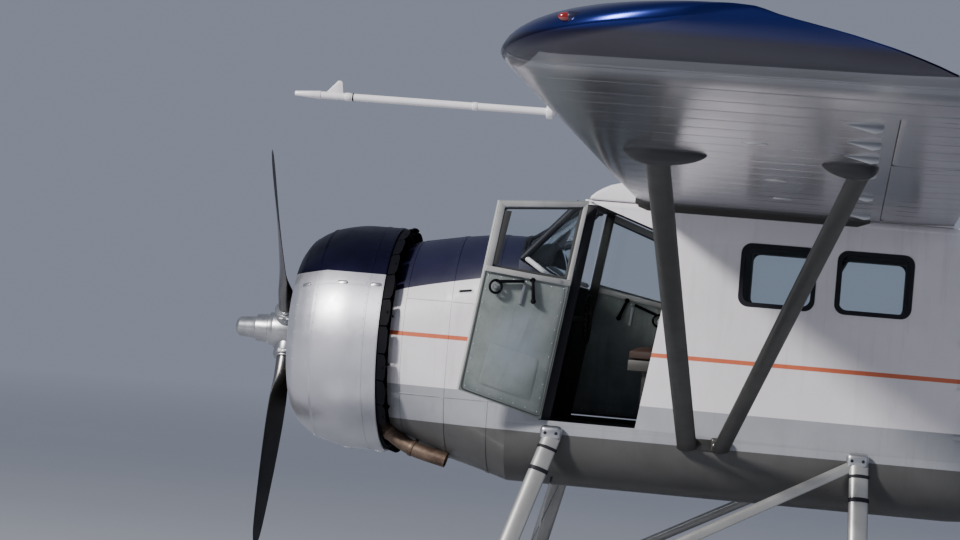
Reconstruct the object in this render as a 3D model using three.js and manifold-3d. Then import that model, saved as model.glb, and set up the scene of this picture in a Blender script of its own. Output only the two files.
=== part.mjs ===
// A high-wing floatplane with a radial engine in a ring cowling, a strut-braced wing and two floats.
// Millimetres. X runs aft, Y to starboard and Z up. Inside the airframe group X and Z are measured
// from the propeller's centre on the thrust line; the group then stands the floats on Z = 0.

import * as THREE from "three";
import { mergeVertices } from "three/addons/utils/BufferGeometryUtils.js";
import Module from "manifold-3d";

const wasm = await Module();
wasm.setup();

// Driving dimensions
const SEAT_GAP = 0.3; // between pieces that rest on each other
const RUNNING_GAP = 8; // between a moving piece and its frame
const KEEL_Z = -2550; // the floats' keels, below the thrust line
const SPAN = 15700;
const DIHEDRAL = THREE.MathUtils.degToRad(1.5);
const PROP_RADIUS = 1480;
const PROP_BLADES = 3;
const PROP_START = THREE.MathUtils.degToRad(40.5); // first blade, from straight up towards port
const HUB_REAR = 100; // where the hub meets the engine's nose
const COWL_RADIUS = 741;
const COWL_FRONT = 105;
const COWL_REAR = 741;
const NOSE_FRONT = 800;
const CABIN_FRONT = 1600;
const CABIN_MIDDLE = 4400; // from here the cabin tapers
const CABIN_REAR = 5600;
const BODY_HALF = 680; // half the cabin's width
const WALL = 30; // cabin walls and doors
const FLOOR_Z = -450;
const EAVES_Z = 955; // top of the side walls, as far back as the wing
const EAVES_REAR_Z = 850;
const ROOF_Z = 1000;
const BELLY_Z = -840;
const WING_LE = 2288;
const CHORD = 2000;
const WING_LOW = 1000; // flat underside at the root
const WING_THICK = 250;
const NOSE_RISE = 58; // leading edge above the flat underside
const HINGE_PIN = 12; // radius of the control surfaces' pins
const STRUT_Y = 4250;
const FLOAT_Y = 1350;
const FLOAT_STEP = 3450;
const TAIL_END = 9000;
const RUDDER_AXIS = 9060;
const RUDDER_REAR = 9650;
const HUB_FRONT = -352;
const BLADE_AXIS = 8; // the blades turn in their sockets about a line this far behind the origin
const BOW_END = -700; // front of the floats' bumpers

const COLOURS = {
  white: { color: 0xe6e2e0, roughness: 0.45, metalness: 0.0 },
  silver: { color: 0xb9bcc4, roughness: 0.35, metalness: 0.8 },
  blue: { color: 0x17205c, roughness: 0.35, metalness: 0.0 },
  black: { color: 0x15161b, roughness: 0.6, metalness: 0.0 },
  steel: { color: 0x5a5d66, roughness: 0.4, metalness: 0.9 },
  grey: { color: 0x8a908f, roughness: 0.7, metalness: 0.0 },
  leather: { color: 0x4a2f22, roughness: 0.7, metalness: 0.0 },
  glass: { color: 0xa9c4d6, roughness: 0.05, metalness: 0.0, transparent: true, opacity: 0.35 },
};

const airframe = new THREE.Group();
airframe.position.set(-(BOW_END + RUDDER_REAR) / 2, 0, -KEEL_Z);

const deg = THREE.MathUtils.degToRad;
const point = (x, y, z) => new THREE.Vector3(x, y, z);

// A drawn shape as a solid that can be joined and cut.
function solid(geometry) {
  const bare = geometry.index ? geometry.toNonIndexed() : geometry.clone();
  bare.deleteAttribute("normal");
  bare.deleteAttribute("uv");
  const merged = mergeVertices(bare, 1e-3);
  const mesh = new wasm.Mesh({
    numProp: 3,
    vertProperties: merged.attributes.position.array,
    triVerts: new Uint32Array(merged.index.array),
  });
  return new wasm.Manifold(mesh);
}

// The triangles of a solid, for a named piece.
function geometryOf(made) {
  const mesh = made.getMesh();
  const places = new Float32Array(mesh.numVert * 3);
  for (let i = 0; i < mesh.numVert; i++)
    places.set(mesh.vertProperties.subarray(i * mesh.numProp, i * mesh.numProp + 3), i * 3);
  const indexed = new THREE.BufferGeometry();
  indexed.setAttribute("position", new THREE.BufferAttribute(places, 3));
  indexed.setIndex(new THREE.BufferAttribute(new Uint32Array(mesh.triVerts), 1));
  const made3 = indexed.toNonIndexed();
  made3.computeVertexNormals();
  return made3;
}

// Adds a named piece made of one solid.
function add(name, made, colour, parent = airframe) {
  const mesh = new THREE.Mesh(geometryOf(made), new THREE.MeshStandardMaterial(COLOURS[colour]));
  mesh.name = name;
  parent.add(mesh);
  return mesh;
}

const union = (...parts) => parts.reduce((a, b) => a.add(b));
const without = (made, ...cuts) => cuts.reduce((a, b) => a.subtract(b), made);
const onBothSides = (build) => [["left", -1], ["right", 1]].forEach(([side, sign]) => build(side, sign));

// A box between two opposite corners.
function box(low, high) {
  const size = high.clone().sub(low);
  const geometry = new THREE.BoxGeometry(Math.abs(size.x), Math.abs(size.y), Math.abs(size.z));
  geometry.translate(...low.clone().add(high).multiplyScalar(0.5).toArray());
  return solid(geometry);
}

// A round bar from one point to another.
function rod(from, to, radius, sides = 16, endRadius = radius) {
  const along = to.clone().sub(from);
  const geometry = new THREE.CylinderGeometry(endRadius, radius, along.length(), sides);
  geometry.applyQuaternion(new THREE.Quaternion().setFromUnitVectors(point(0, 1, 0), along.clone().normalize()));
  geometry.translate(...from.clone().add(to).multiplyScalar(0.5).toArray());
  return solid(geometry);
}

// A closed skin through rings that each have the same number of points, with flat ends.
function loft(rings) {
  const count = rings[0].length;
  const places = rings.flat().flatMap((p) => [p.x, p.y, p.z]);
  const faces = [];
  for (let r = 0; r + 1 < rings.length; r++)
    for (let i = 0; i < count; i++) {
      const a = r * count + i;
      const b = r * count + ((i + 1) % count);
      faces.push(a, b, b + count, a, b + count, a + count);
    }
  [0, rings.length - 1].forEach((r) => {
    const middle = rings[r].reduce((sum, p) => sum.add(p), point(0, 0, 0)).divideScalar(count);
    const centre = places.length / 3;
    places.push(middle.x, middle.y, middle.z);
    for (let i = 0; i < count; i++) {
      const a = r * count + i;
      const b = r * count + ((i + 1) % count);
      faces.push(...(r === 0 ? [centre, b, a] : [centre, a, b]));
    }
  });
  const geometry = new THREE.BufferGeometry();
  geometry.setAttribute("position", new THREE.BufferAttribute(new Float32Array(places), 3));
  geometry.setIndex(faces);
  let made = solid(geometry);
  if (made.volume() < 0) {
    geometry.setIndex(faces.reverse());
    made = solid(geometry);
  }
  return made;
}

// A flat outline in the X-Z plane, given as [x, z] points, extruded from y = low to y = high.
function plate(outline, low, high, holes = []) {
  const shape = new THREE.Shape(outline.map(([x, z]) => new THREE.Vector2(x, z)));
  holes.forEach((hole) => shape.holes.push(new THREE.Path(hole.map(([x, z]) => new THREE.Vector2(x, z)))));
  const geometry = new THREE.ExtrudeGeometry(shape, { depth: high - low, bevelEnabled: false });
  geometry.applyMatrix4(new THREE.Matrix4().makeBasis(point(1, 0, 0), point(0, 0, 1), point(0, -1, 0)));
  geometry.translate(0, high, 0);
  return solid(geometry);
}

// A shape turned about the thrust line: profile points are [x, radius].
function turned(profile, segments) {
  const geometry = new THREE.LatheGeometry(profile.map(([x, r]) => new THREE.Vector2(r, x)), segments);
  geometry.applyMatrix4(new THREE.Matrix4().makeBasis(point(0, 1, 0), point(1, 0, 0), point(0, 0, -1)));
  return solid(geometry);
}

// A streamlined bar: its section is long fore and aft, rounded in front and sharp behind.
function streamlined(from, to, chord, thick) {
  const ring = (centre) =>
    [
      [-0.42, 0], [-0.36, 0.32], [-0.15, 0.5], [0.12, 0.44], [0.38, 0.2],
      [0.58, 0], [0.38, -0.2], [0.12, -0.44], [-0.15, -0.5], [-0.36, -0.32],
    ].map(([along, across]) => {
      const span = to.clone().sub(from).normalize();
      const fore = point(1, 0, 0).addScaledVector(span, -span.x).normalize();
      const side = span.clone().cross(fore);
      return centre.clone().addScaledVector(fore, along * chord).addScaledVector(side, across * thick);
    });
  return loft([ring(from), ring(to)]);
}

// A fuselage section: a rectangle with round corners.
function bodyRing(x, half, top, low, topRound, lowRound, steps = 5) {
  const corners = [
    [half - topRound, top - topRound, topRound, 0],
    [-half + topRound, top - topRound, topRound, 90],
    [-half + lowRound, low + lowRound, lowRound, 180],
    [half - lowRound, low + lowRound, lowRound, 270],
  ];
  return corners.flatMap(([y, z, radius, start]) =>
    Array.from({ length: steps + 1 }, (_, i) => {
      const angle = deg(start + (90 * i) / steps);
      return point(x, y + radius * Math.cos(angle), z + radius * Math.sin(angle));
    }),
  );
}

// Fuselage stations: x, half width, top, bottom, top corner radius, bottom corner radius
const NOSE_STATIONS = [
  [NOSE_FRONT, 655, 655, -655, 650, 650],
  [1150, 668, 715, -735, 590, 560],
  [1400, 676, 745, -790, 470, 450],
  [CABIN_FRONT, BODY_HALF, 745, BELLY_Z, 400, 360],
];
const CABIN_STATIONS = [
  [CABIN_FRONT, BODY_HALF, ROOF_Z, BELLY_Z, 45, 360],
  [CABIN_MIDDLE, BODY_HALF, ROOF_Z, BELLY_Z, 45, 360],
  [CABIN_REAR, 600, 930, -760, 200, 330],
];
const TAIL_STATIONS = [
  [CABIN_REAR, 600, 930, -760, 200, 330],
  [7000, 380, 720, -500, 180, 240],
  [8200, 190, 560, -230, 120, 140],
  [TAIL_END, 70, 470, -60, 60, 60],
];

const bodyLoft = (stations) => loft(stations.map((s) => bodyRing(...s)));
const inset = ([x, half, top, low, topRound, lowRound], by) => [
  x, half - by, top - by, low + by, Math.max(topRound - by, 20), Math.max(lowRound - by, 20),
];

// Cockpit door outline in the side plane; the front edge is the slanted hinge line
const HINGE_LOW = [1815, -410];
const HINGE_TOP = [2006.6, 987];
const DOOR_OUTLINE = [HINGE_LOW, [2412, -410], [2582, 783], HINGE_TOP];
const DOOR_WINDOW = [[1968, 474], [2480, 376], [2534, 758], [2030, 938]];
const hingeLineAt = (z) => HINGE_LOW[0] + ((z - HINGE_LOW[1]) * (HINGE_TOP[0] - HINGE_LOW[0])) / (HINGE_TOP[1] - HINGE_LOW[1]);
const CABIN_DOOR = { front: 4480, rear: 5140, low: -400, top: 800 };
const WINDOW_LOW = 430;
const WINDOW_TOP = 782;
const SIDE_WINDOWS = [[3020, 3450], [3620, 4050]]; // front and rear edge of each
const CABIN_DOOR_WINDOW = [4590, 5030];

const rectangle = (front, rear, low, top) => [[front, low], [rear, low], [rear, top], [front, top]];

// The outline moved outwards by a gap: each corner moves away from the middle.
function grown(outline, by) {
  const cx = outline.reduce((s, p) => s + p[0], 0) / outline.length;
  const cz = outline.reduce((s, p) => s + p[1], 0) / outline.length;
  return outline.map(([x, z]) => [x + Math.sign(x - cx) * by, z + Math.sign(z - cz) * by]);
}

const doorWay = (low, high) => plate(grown(DOOR_OUTLINE, RUNNING_GAP), low, high);

function engine() {
  const CRANKCASE = 250;
  const CYLINDERS = 9;
  const HEAD_TOP = COWL_RADIUS - 66;
  const core = turned(
    [[HUB_REAR, 0], [HUB_REAR, 95], [140, 120], [175, 200], [240, CRANKCASE], [560, CRANKCASE], [620, 330],
      [NOSE_FRONT - SEAT_GAP, 330], [NOSE_FRONT - SEAT_GAP, 0]],
    28,
  );
  let made = core;
  for (let i = 0; i < CYLINDERS; i++) {
    const angle = (2 * Math.PI * i) / CYLINDERS;
    const out = point(0, Math.sin(angle), Math.cos(angle));
    const at = (radius, x = 390) => out.clone().multiplyScalar(radius).setX(x);
    made = union(
      made,
      rod(at(CRANKCASE - 20), at(470), 78, 12),
      rod(at(465), at(600), 108, 12),
      rod(at(598), at(HEAD_TOP), 40, 8),
      rod(at(560, 300), at(612, 300), 38, 8),
      rod(at(560, 480), at(640, 480), 38, 8),
    );
  }
  add("engine", made, "steel");
}

function cowl() {
  const OUTSIDE = [
    [COWL_FRONT, 500], [109, 530], [125, 560], [160, 610], [196, 639], [251, 673], [336, 708], [479, 737],
    [625, COWL_RADIUS], [COWL_REAR, COWL_RADIUS],
  ];
  // A flange inside rests on the cylinder heads.
  const INSIDE = [
    [COWL_REAR, COWL_RADIUS - 12], [479, 724], [412, 704], [412, 678.2], [345, 677], [251, 640], [196, 606],
    [150, 560], [130, 520], [122, 496], [112, 490],
  ];
  const profile = [...OUTSIDE, ...INSIDE];
  add("cowl", turned([...profile, profile[0]], 56), "silver");
}

// The exhaust leaves the cowling low on the port side: points on its middle line
const EXHAUST = [[700, -270, -520], [800, -305, -600], [960, -330, -690], [1190, -345, -747]];
const EXHAUST_RADIUS = 52;

function exhaustLine(radius, stop = 0) {
  const at = EXHAUST.map((p) => point(...p));
  const last = at[3].clone().lerp(at[2], stop);
  return union(rod(at[0], at[1], radius, 20), rod(at[1], at[2], radius, 20), rod(at[2], last, radius, 20),
    ball(at[1], radius), ball(at[2], radius));
}

function exhaust() {
  const at = EXHAUST.map((p) => point(...p));
  const out = at[3].clone().sub(at[2]).normalize();
  const bore = rod(at[3].clone().addScaledVector(out, -120), at[3].clone().addScaledVector(out, 10), EXHAUST_RADIUS - 6, 20);
  const nose = bodyLoft(NOSE_STATIONS.map((s) => inset(s, -SEAT_GAP)));
  add("exhaust_pipe", without(exhaustLine(EXHAUST_RADIUS), bore, nose), "steel");
}

// The engine's air leaves between the cowling and the nose; a flared ring of flaps guides it.
function cowlFlaps() {
  const ring = turned(
    [[COWL_REAR + SEAT_GAP, 702], [COWL_REAR + SEAT_GAP, 731], [808, 749], [808, 737],
      [COWL_REAR + 22, 702], [COWL_REAR + SEAT_GAP, 702]],
    56,
  );
  let made = ring;
  const STAYS = 12;
  for (let i = 0; i < STAYS; i++) {
    const angle = (2 * Math.PI * (i + 0.5)) / STAYS;
    const out = point(0, Math.sin(angle), Math.cos(angle));
    made = union(made, rod(out.clone().multiplyScalar(664).setX(812), out.clone().multiplyScalar(738).setX(792), 9, 8));
  }
  const nose = bodyLoft(NOSE_STATIONS.map((s) => inset(s, -SEAT_GAP)));
  add("cowl_flaps", without(made, nose, exhaustLine(EXHAUST_RADIUS + 10)), "black");
}

function propeller() {
  const REAR = HUB_REAR - RUNNING_GAP;
  const hub = turned(
    [[HUB_FRONT, 0], [HUB_FRONT, 28], [-344, 48], [-326, 64], [-216, 74], [-208, 90], [-128, 96], [-120, 108],
      [-92, 112], [-84, 132], [REAR, 132], [REAR, 70], [HUB_REAR - SEAT_GAP, 70], [HUB_REAR - SEAT_GAP, 0]],
    28,
  );
  // Blade sections: distance out, chord, thickness, blade angle from the disc
  const BOSS_OUT = 200;
  const BLADE = [
    [BOSS_OUT - 40, 118, 112, 30],
    [330, 120, 96, 28],
    [480, 185, 48, 24],
    [700, 215, 32, 19],
    [980, 210, 22, 14.5],
    [1240, 180, 16, 11],
    [1400, 135, 12, 9.5],
    [PROP_RADIUS, 60, 8, 9],
  ];
  let made = hub;
  for (let i = 0; i < PROP_BLADES; i++) {
    const angle = PROP_START + (2 * Math.PI * i) / PROP_BLADES;
    const out = point(0, -Math.sin(angle), Math.cos(angle));
    const leading = out.clone().cross(point(1, 0, 0));
    const boss = rod(point(BLADE_AXIS, 0, 0), out.clone().multiplyScalar(BOSS_OUT).setX(BLADE_AXIS), 80, 18);
    const collar = rod(out.clone().multiplyScalar(BOSS_OUT - 42).setX(BLADE_AXIS),
      out.clone().multiplyScalar(BOSS_OUT - 14).setX(BLADE_AXIS), 83, 18);
    const rings = BLADE.map(([radius, chord, thick, pitch]) =>
      Array.from({ length: 14 }, (_, k) => {
        const turn = (2 * Math.PI * k) / 14;
        const along = (chord / 2) * Math.cos(turn);
        const across = (thick / 2) * Math.sin(turn);
        const p = deg(pitch);
        return out.clone().multiplyScalar(radius)
          .addScaledVector(leading, along * Math.cos(p) + across * Math.sin(p))
          .add(point(across * Math.cos(p) - along * Math.sin(p) + BLADE_AXIS, 0, 0));
      }),
    );
    made = union(made, boss, collar, loft(rings));
  }
  add("propeller", made, "black");
}

function noseBody() {
  const nose = bodyLoft(NOSE_STATIONS);
  const cabinGap = box(point(CABIN_FRONT - SEAT_GAP, -900, -1000), point(CABIN_FRONT + 50, 900, 900));
  add("fuselage_nose", without(nose, cabinGap), "white");
}

const DOOR_OPEN = deg(150); // how far the port cockpit door stands open
const HINGE_OUT = BODY_HALF + 11; // the hinge lines lie just outside the skin

const cockpitHinge = (sign) => [HINGE_LOW, HINGE_TOP].map(([x, z]) => point(x - 4, sign * HINGE_OUT, z));
const cabinHinge = (sign) =>
  [CABIN_DOOR.low, CABIN_DOOR.top].map((z) => point(CABIN_DOOR.front - 4, sign * HINGE_OUT, z));

// The cabin is a shell cut at the floor and along the eaves into belly, side walls and roof.
function cabin() {
  const outer = bodyLoft(CABIN_STATIONS);
  const hollow = loft(
    CABIN_STATIONS.map((s, i) => inset([s[0] + (i === 0 ? -20 : i === 2 ? 20 : 0), ...s.slice(1)], WALL))
      .map((s) => bodyRing(...s)),
  );
  const shell = outer.subtract(hollow);
  const fore = CABIN_FRONT - 50;
  const aft = CABIN_REAR + 50;
  const rearCut = box(point(CABIN_REAR - SEAT_GAP, -900, -1000), point(aft, 900, 1200));
  const underFloor = box(point(fore, -900, -1000), point(aft, 900, FLOOR_Z - SEAT_GAP));
  add("cabin_belly", outer.intersect(underFloor).subtract(rearCut), "silver");

  // Above the quarter window's lower edge and ahead of the hinge line the wall is open.
  const quarter = [
    [1500, 640], [1600, 585], [1795, 474], [hingeLineAt(446), 446], HINGE_TOP, [2040, 1100], [1500, 1100],
  ];
  const eaves = (gap) => [[fore, EAVES_Z - gap], [CABIN_MIDDLE, EAVES_Z - gap], [aft, EAVES_REAR_Z - gap]];
  onBothSides((side, sign) => {
    const reach = sign < 0 ? [-900, -400] : [400, 900];
    const sideOnly = plate([[fore, FLOOR_Z], [aft, FLOOR_Z], ...eaves(SEAT_GAP).reverse()], ...reach);
    const windows = SIDE_WINDOWS.map(([front, rear]) =>
      plate(rectangle(front, rear, WINDOW_LOW, WINDOW_TOP), ...reach));
    const { front, rear, low, top } = CABIN_DOOR;
    const made = without(
      shell.intersect(sideOnly),
      rearCut,
      plate(quarter, ...reach),
      doorWay(...reach),
      plate(rectangle(front - RUNNING_GAP, rear + RUNNING_GAP, low - RUNNING_GAP, top + RUNNING_GAP), ...reach),
      ...windows,
    );
    const hinges = [cockpitHinge(sign), cabinHinge(sign)].flatMap((hinge) => hingeBarrels(hinge, sign, -1));
    add(`cabin_side_${side}`, union(made, doorPost(sign), ...hinges), "white");
  });

  const overEaves = plate([...eaves(0), [aft, 1100], [fore, 1100]], -900, 900);
  const roofFront = box(point(fore, -900, EAVES_Z - 100), point(1985, 900, ROOF_Z + 100));
  const cutsBySide = [-1, 1].map((sign) => {
    const ends = [sign * 640, sign * 900];
    const cornerLegs = box(point(1900, ends[0], 900), point(2045, ends[1], 985));
    const doorSwing = box(point(1900, ends[0], 900), point(2012, ends[1], 1100));
    return union(doorWay(Math.min(...ends), Math.max(...ends)), cornerLegs, doorSwing);
  });
  const made = without(shell.intersect(overEaves), rearCut, roofFront, ...cutsBySide);
  add("cabin_roof", union(made, wingRootFillet(-1), wingRootFillet(1)), "white");
}

// The post behind each cockpit door's hinges, which the shut door rests against
function doorPost(sign) {
  const WIDE = 62;
  const strip = (low, high, ahead, behind) =>
    [[hingeLineAt(low) + ahead, low], [hingeLineAt(low) + behind, low], [hingeLineAt(high) + behind, high],
      [hingeLineAt(high) + ahead, high]];
  const across = (near, far) => [sign * near, sign * far].sort((a, b) => a - b);
  const HALF_IN = BODY_HALF - WALL - 7;
  const post = plate(strip(FLOOR_Z, 960, 3, WIDE), ...across(HALF_IN, HALF_IN - 28));
  const low = plate(strip(FLOOR_Z, 440, -50, WIDE), ...across(HALF_IN, HALF_IN - 28));
  const join = plate(strip(FLOOR_Z, 440, -50, -12), ...across(BODY_HALF - WALL + 5, HALF_IN - 28));
  return union(post, low, join);
}

// A concave fillet under each wing root, from the leading edge back to the flap
function wingRootFillet(sign) {
  const TOP = ROOF_Z + 45;
  // Station: x, lowest height
  const STATIONS = [[2304, 992], [2325, 978], [2385, 957], [3700, 957], [3775, 985]];
  const rings = STATIONS.map(([x, low]) => {
    const wide = (ROOF_Z - low) * 1.3;
    return [
      [BODY_HALF - 40, low], [BODY_HALF, low], [BODY_HALF + wide * 0.25, low + (ROOF_Z - low) * 0.5],
      [BODY_HALF + wide * 0.6, low + (ROOF_Z - low) * 0.82], [BODY_HALF + wide * 1.1, TOP], [BODY_HALF - 40, TOP],
    ].map(([y, z]) => point(x, sign * y, z));
  });
  const fairingSpace = box(point(2200, -BODY_HALF, ROOF_Z), point(3900, BODY_HALF, TOP + 10));
  const wing = loft([BODY_HALF - SEAT_GAP, 1100].map((y) => wingRing(sign * y, WING_LE - SEAT_GAP, WING_LE + CHORD)
    .map((p) => p.setZ(p.z < WING_LOW + NOSE_RISE ? p.z - SEAT_GAP : p.z + SEAT_GAP))));
  return without(loft(rings), wing, fairingSpace);
}

// Windshield frame points on the port side; the starboard ones mirror them.
const SHIELD = {
  baseCentre: point(1618, 0, 753),
  baseShoulder: point(1616, -420, 713),
  baseCorner: point(1618, -570, 606),
  topCentre: point(1955, 0, 984),
  topCorner: point(1947, -590, 972),
  quarterMiddle: point(1795, -645, 496),
  quarterLow: point(1908, -655, 471),
  quarterTop: point(1966, -648, 968),
};

const SHIELD_BAR = 17; // radius of the frame's bars

// A small round knot at a corner
function ball(p, radius) {
  const shape = new THREE.IcosahedronGeometry(radius, 1);
  shape.translate(p.x, p.y, p.z);
  return solid(shape);
}

function windshield(purpose = "pieces") {
  const mirror = (p) => point(p.x, -p.y, p.z);
  const s = SHIELD;
  const glassIn = 21; // the panes sit this far inside the bars
  const inward = (p) => point(p.x + glassIn, p.y * 0.965, p.z - glassIn * 0.4);
  const bars = [[s.baseCentre, s.topCentre]];
  const panes = [];
  [(p) => p.clone(), mirror].forEach((flip) => {
    const c = Object.fromEntries(Object.entries(s).map(([key, p]) => [key, flip(p)]));
    const base = [c.baseCentre, c.baseShoulder, c.baseCorner];
    const top = base.map((p) => c.topCentre.clone().lerp(c.topCorner, p.y / c.baseCorner.y));
    bars.push(
      ...base.slice(1).map((p, i) => [base[i], p]), [c.topCentre, c.topCorner], [c.baseCorner, c.topCorner],
      [c.baseCorner, c.quarterMiddle], [c.quarterMiddle, c.quarterLow], [c.topCorner, c.quarterTop],
    );
    base.slice(1).forEach((p, i) => panes.push([base[i], p, top[i + 1], top[i]]));
    panes.push([c.baseCorner, c.quarterMiddle, c.quarterLow, c.quarterTop, c.topCorner]);
  });
  const knots = [s.baseCorner, s.topCorner, s.quarterLow, s.quarterTop].flatMap((p) => [p, mirror(p)]);
  const bars8 = (radius) =>
    union(...bars.map(([a, b]) => rod(a, b, radius, 8)), ...[...knots, s.topCentre].map((p) => ball(p, radius)));
  if (purpose === "clearance") return bars8(SHIELD_BAR + 1);
  const keepOut = union(
    bodyLoft(NOSE_STATIONS.map((station) => inset(station, -SEAT_GAP))),
    box(point(CABIN_FRONT - 20, -900, -900), point(1700, 900, 520)),
  );
  add("windshield_frame", without(bars8(SHIELD_BAR), keepOut), "white");

  const sheet = (corners) => {
    const p = corners.map(inward);
    const normal = p[1].clone().sub(p[0]).cross(p[2].clone().sub(p[0])).normalize().multiplyScalar(3);
    const ring = (way) => p.map((q) => q.clone().addScaledVector(normal, way));
    return loft([ring(-1), ring(1)]);
  };
  const glass = union(...panes.map(sheet));
  add("windshield_glass", without(glass, keepOut, bars8(SHIELD_BAR + 1)), "glass");
  return null;
}

// Barrels along a hinge line with their straps: way 1 is the door's half and way -1 the wall's.
function hingeBarrels(hinge, sign, way) {
  const axis = hinge[1].clone().sub(hinge[0]).normalize();
  const BARREL = 42;
  return [0.12, 0.36, 0.6].map((along) => {
    const middle = hinge[0].clone().lerp(hinge[1], along).addScaledVector(axis, way > 0 ? 0 : -BARREL - SEAT_GAP);
    const half = axis.clone().multiplyScalar(BARREL / 2);
    const barrel = rod(middle.clone().sub(half), middle.clone().add(half), 9, 10);
    const strap = box(
      point(middle.x + way * 5, middle.y - 3, middle.z - 13),
      point(middle.x + way * 90, middle.y + 3, middle.z + 13),
    );
    const foot = box(
      point(middle.x + way * 22, middle.y - 3, middle.z - 13),
      point(middle.x + way * 90, sign * (BODY_HALF - 4), middle.z + 13),
    );
    return union(barrel, strap, foot);
  });
}

// A door turned about its hinge line, with its pane in the same group.
function door(name, outline, hole, sign, hinge, openBy) {
  const axis = hinge[1].clone().sub(hinge[0]).normalize();
  const group = new THREE.Group();
  group.position.copy(hinge[0]);
  group.quaternion.setFromAxisAngle(axis, openBy);
  const low = sign < 0 ? -BODY_HALF : BODY_HALF - WALL;
  const local = (made) => made.translate([-hinge[0].x, -hinge[0].y, -hinge[0].z]);
  const leaf = plate(outline, low, low + WALL, [hole]);
  const rebate = plate(grown(hole, 12), low + WALL / 2 - 3 - SEAT_GAP, low + WALL / 2 + 3 + SEAT_GAP);
  const pane = plate(grown(hole, 12 - SEAT_GAP), low + WALL / 2 - 3, low + WALL / 2 + 3);
  const knuckles = hingeBarrels(hinge, sign, 1);
  add(name, local(union(leaf.subtract(rebate), ...knuckles)), "white", group);
  add(`${name}_glass`, local(pane), "glass", group);
  airframe.add(group);
}

function doors() {
  onBothSides((side, sign) => {
    const openBy = side === "left" ? -DOOR_OPEN : 0;
    door(`cockpit_door_${side}`, DOOR_OUTLINE, DOOR_WINDOW, sign, cockpitHinge(sign), openBy);
    const { front, rear, low, top } = CABIN_DOOR;
    door(
      `cabin_door_${side}`, rectangle(front, rear, low, top),
      rectangle(...CABIN_DOOR_WINDOW, WINDOW_LOW, WINDOW_TOP), sign, cabinHinge(sign), 0,
    );
  });
}

// One pane runs behind both side windows, held against the wall's inner face.
function sideGlass() {
  onBothSides((side, sign) => {
    const inside = BODY_HALF - WALL - SEAT_GAP;
    const [low, high] = sign < 0 ? [-inside, -inside + 5] : [inside - 5, inside];
    const front = SIDE_WINDOWS[0][0] - 25;
    const rear = SIDE_WINDOWS[1][1] + 25;
    add(`side_glass_${side}`, plate(rectangle(front, rear, WINDOW_LOW - 25, WINDOW_TOP + 25), low, high), "glass");
  });
}

function cockpit() {
  const panelOutline = [[-600, -200], [600, -200], [600, 470], [430, 600], [-430, 600], [-600, 470]];
  const shape = new THREE.Shape(panelOutline.map(([y, z]) => new THREE.Vector2(y, z)));
  const panel = new THREE.ExtrudeGeometry(shape, { depth: 40, bevelEnabled: false });
  panel.applyMatrix4(new THREE.Matrix4().makeBasis(point(0, 1, 0), point(0, 0, 1), point(1, 0, 0)));
  panel.translate(CABIN_FRONT + 10, 0, 0);
  const legs = box(point(CABIN_FRONT + 10, -120, FLOOR_Z), point(CABIN_FRONT + 50, 120, -190));

  onBothSides((side, sign) => {
    const y = sign * 320;
    const pan = box(point(2330, y - 220, -60), point(2790, y + 220, 10));
    const back = plate([[2740, -60], [2800, -60], [2900, 560], [2850, 560]], y - 210, y + 210);
    const base = box(point(2420, y - 160, FLOOR_Z), point(2760, y + 160, -50));
    add(`seat_${side}`, union(pan, back, base), "leather");
  });

  // A control wheel on a shaft that comes out of the panel.
  const wheel = new THREE.TorusGeometry(150, 14, 8, 28);
  wheel.rotateY(Math.PI / 2);
  wheel.translate(2030, -320, 240);
  const shaft = rod(point(CABIN_FRONT + 40, -320, 240), point(2042, -320, 240), 16, 12);
  const spoke = box(point(2024, -460, 230), point(2036, -180, 250));
  add("instrument_panel", union(solid(panel), legs, solid(wheel), shaft, spoke), "black");

  const bench = plate(
    [[3560, FLOOR_Z], [4020, FLOOR_Z], [4100, 420], [4020, 420], [3960, -20], [3540, -20], [3540, -120], [3600, -120]],
    -560, 560,
  );
  add("cabin_bench", bench, "leather");
}

// Wing section at a chord share from 0 to 1: [height above the flat underside, top and bottom]
const SECTION = [
  [0.0, NOSE_RISE, NOSE_RISE],
  [0.012, 106, 28],
  [0.035, 146, 11],
  [0.08, 190, 0],
  [0.16, 230, 0],
  [0.3, WING_THICK, 0],
  [0.5, 226, 0],
  [0.7, 158, 0],
  [0.88, 76, 0],
  [1.0, 18, 7],
];

// The wing's section at y between a front and a rear x; squeeze thins it, lift and rearRise raise it
function wingRing(y, front, rear, lift = 0, squeeze = 1, rearRise = 0) {
  const up = WING_LOW + Math.abs(y - Math.sign(y) * BODY_HALF) * Math.tan(DIHEDRAL);
  const at = (share, high) =>
    point(front + share * (rear - front), y, up + lift + share * rearRise + high * squeeze);
  const top = SECTION.map(([share, high]) => at(share, high));
  const low = SECTION.slice(1).reverse().map(([share, , under]) => at(share, under));
  return [...top, ...low];
}

const TIP_START = 6700; // where the trailing edge starts to curve in
const TIP_LE_START = 7100;
const TIP_PEAK = 3150; // x of the outermost point
const HALF_SPAN = SPAN / 2;

function tipEdges(y) {
  const bend = (start) => {
    const share = Math.max(0, (y - start) / (HALF_SPAN + 4 - start));
    return 1 - Math.sqrt(1 - share * share);
  };
  const rear = WING_LE + CHORD;
  return [WING_LE + (TIP_PEAK - WING_LE) * bend(TIP_LE_START), rear - (rear - TIP_PEAK) * bend(TIP_START)];
}

const SURFACE_AXIS = 3860; // hinge line of flaps and ailerons
const SURFACE_NOSE = 57; // radius of their rounded noses
const FLAP_SPAN = [800, 4340];
const AILERON_SPAN = [4420, 6420];
const SURFACE_RISE = 58; // hinge line above the flat underside

const hingeHeight = (y) => WING_LOW + SURFACE_RISE + (y - BODY_HALF) * Math.tan(DIHEDRAL);

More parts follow.
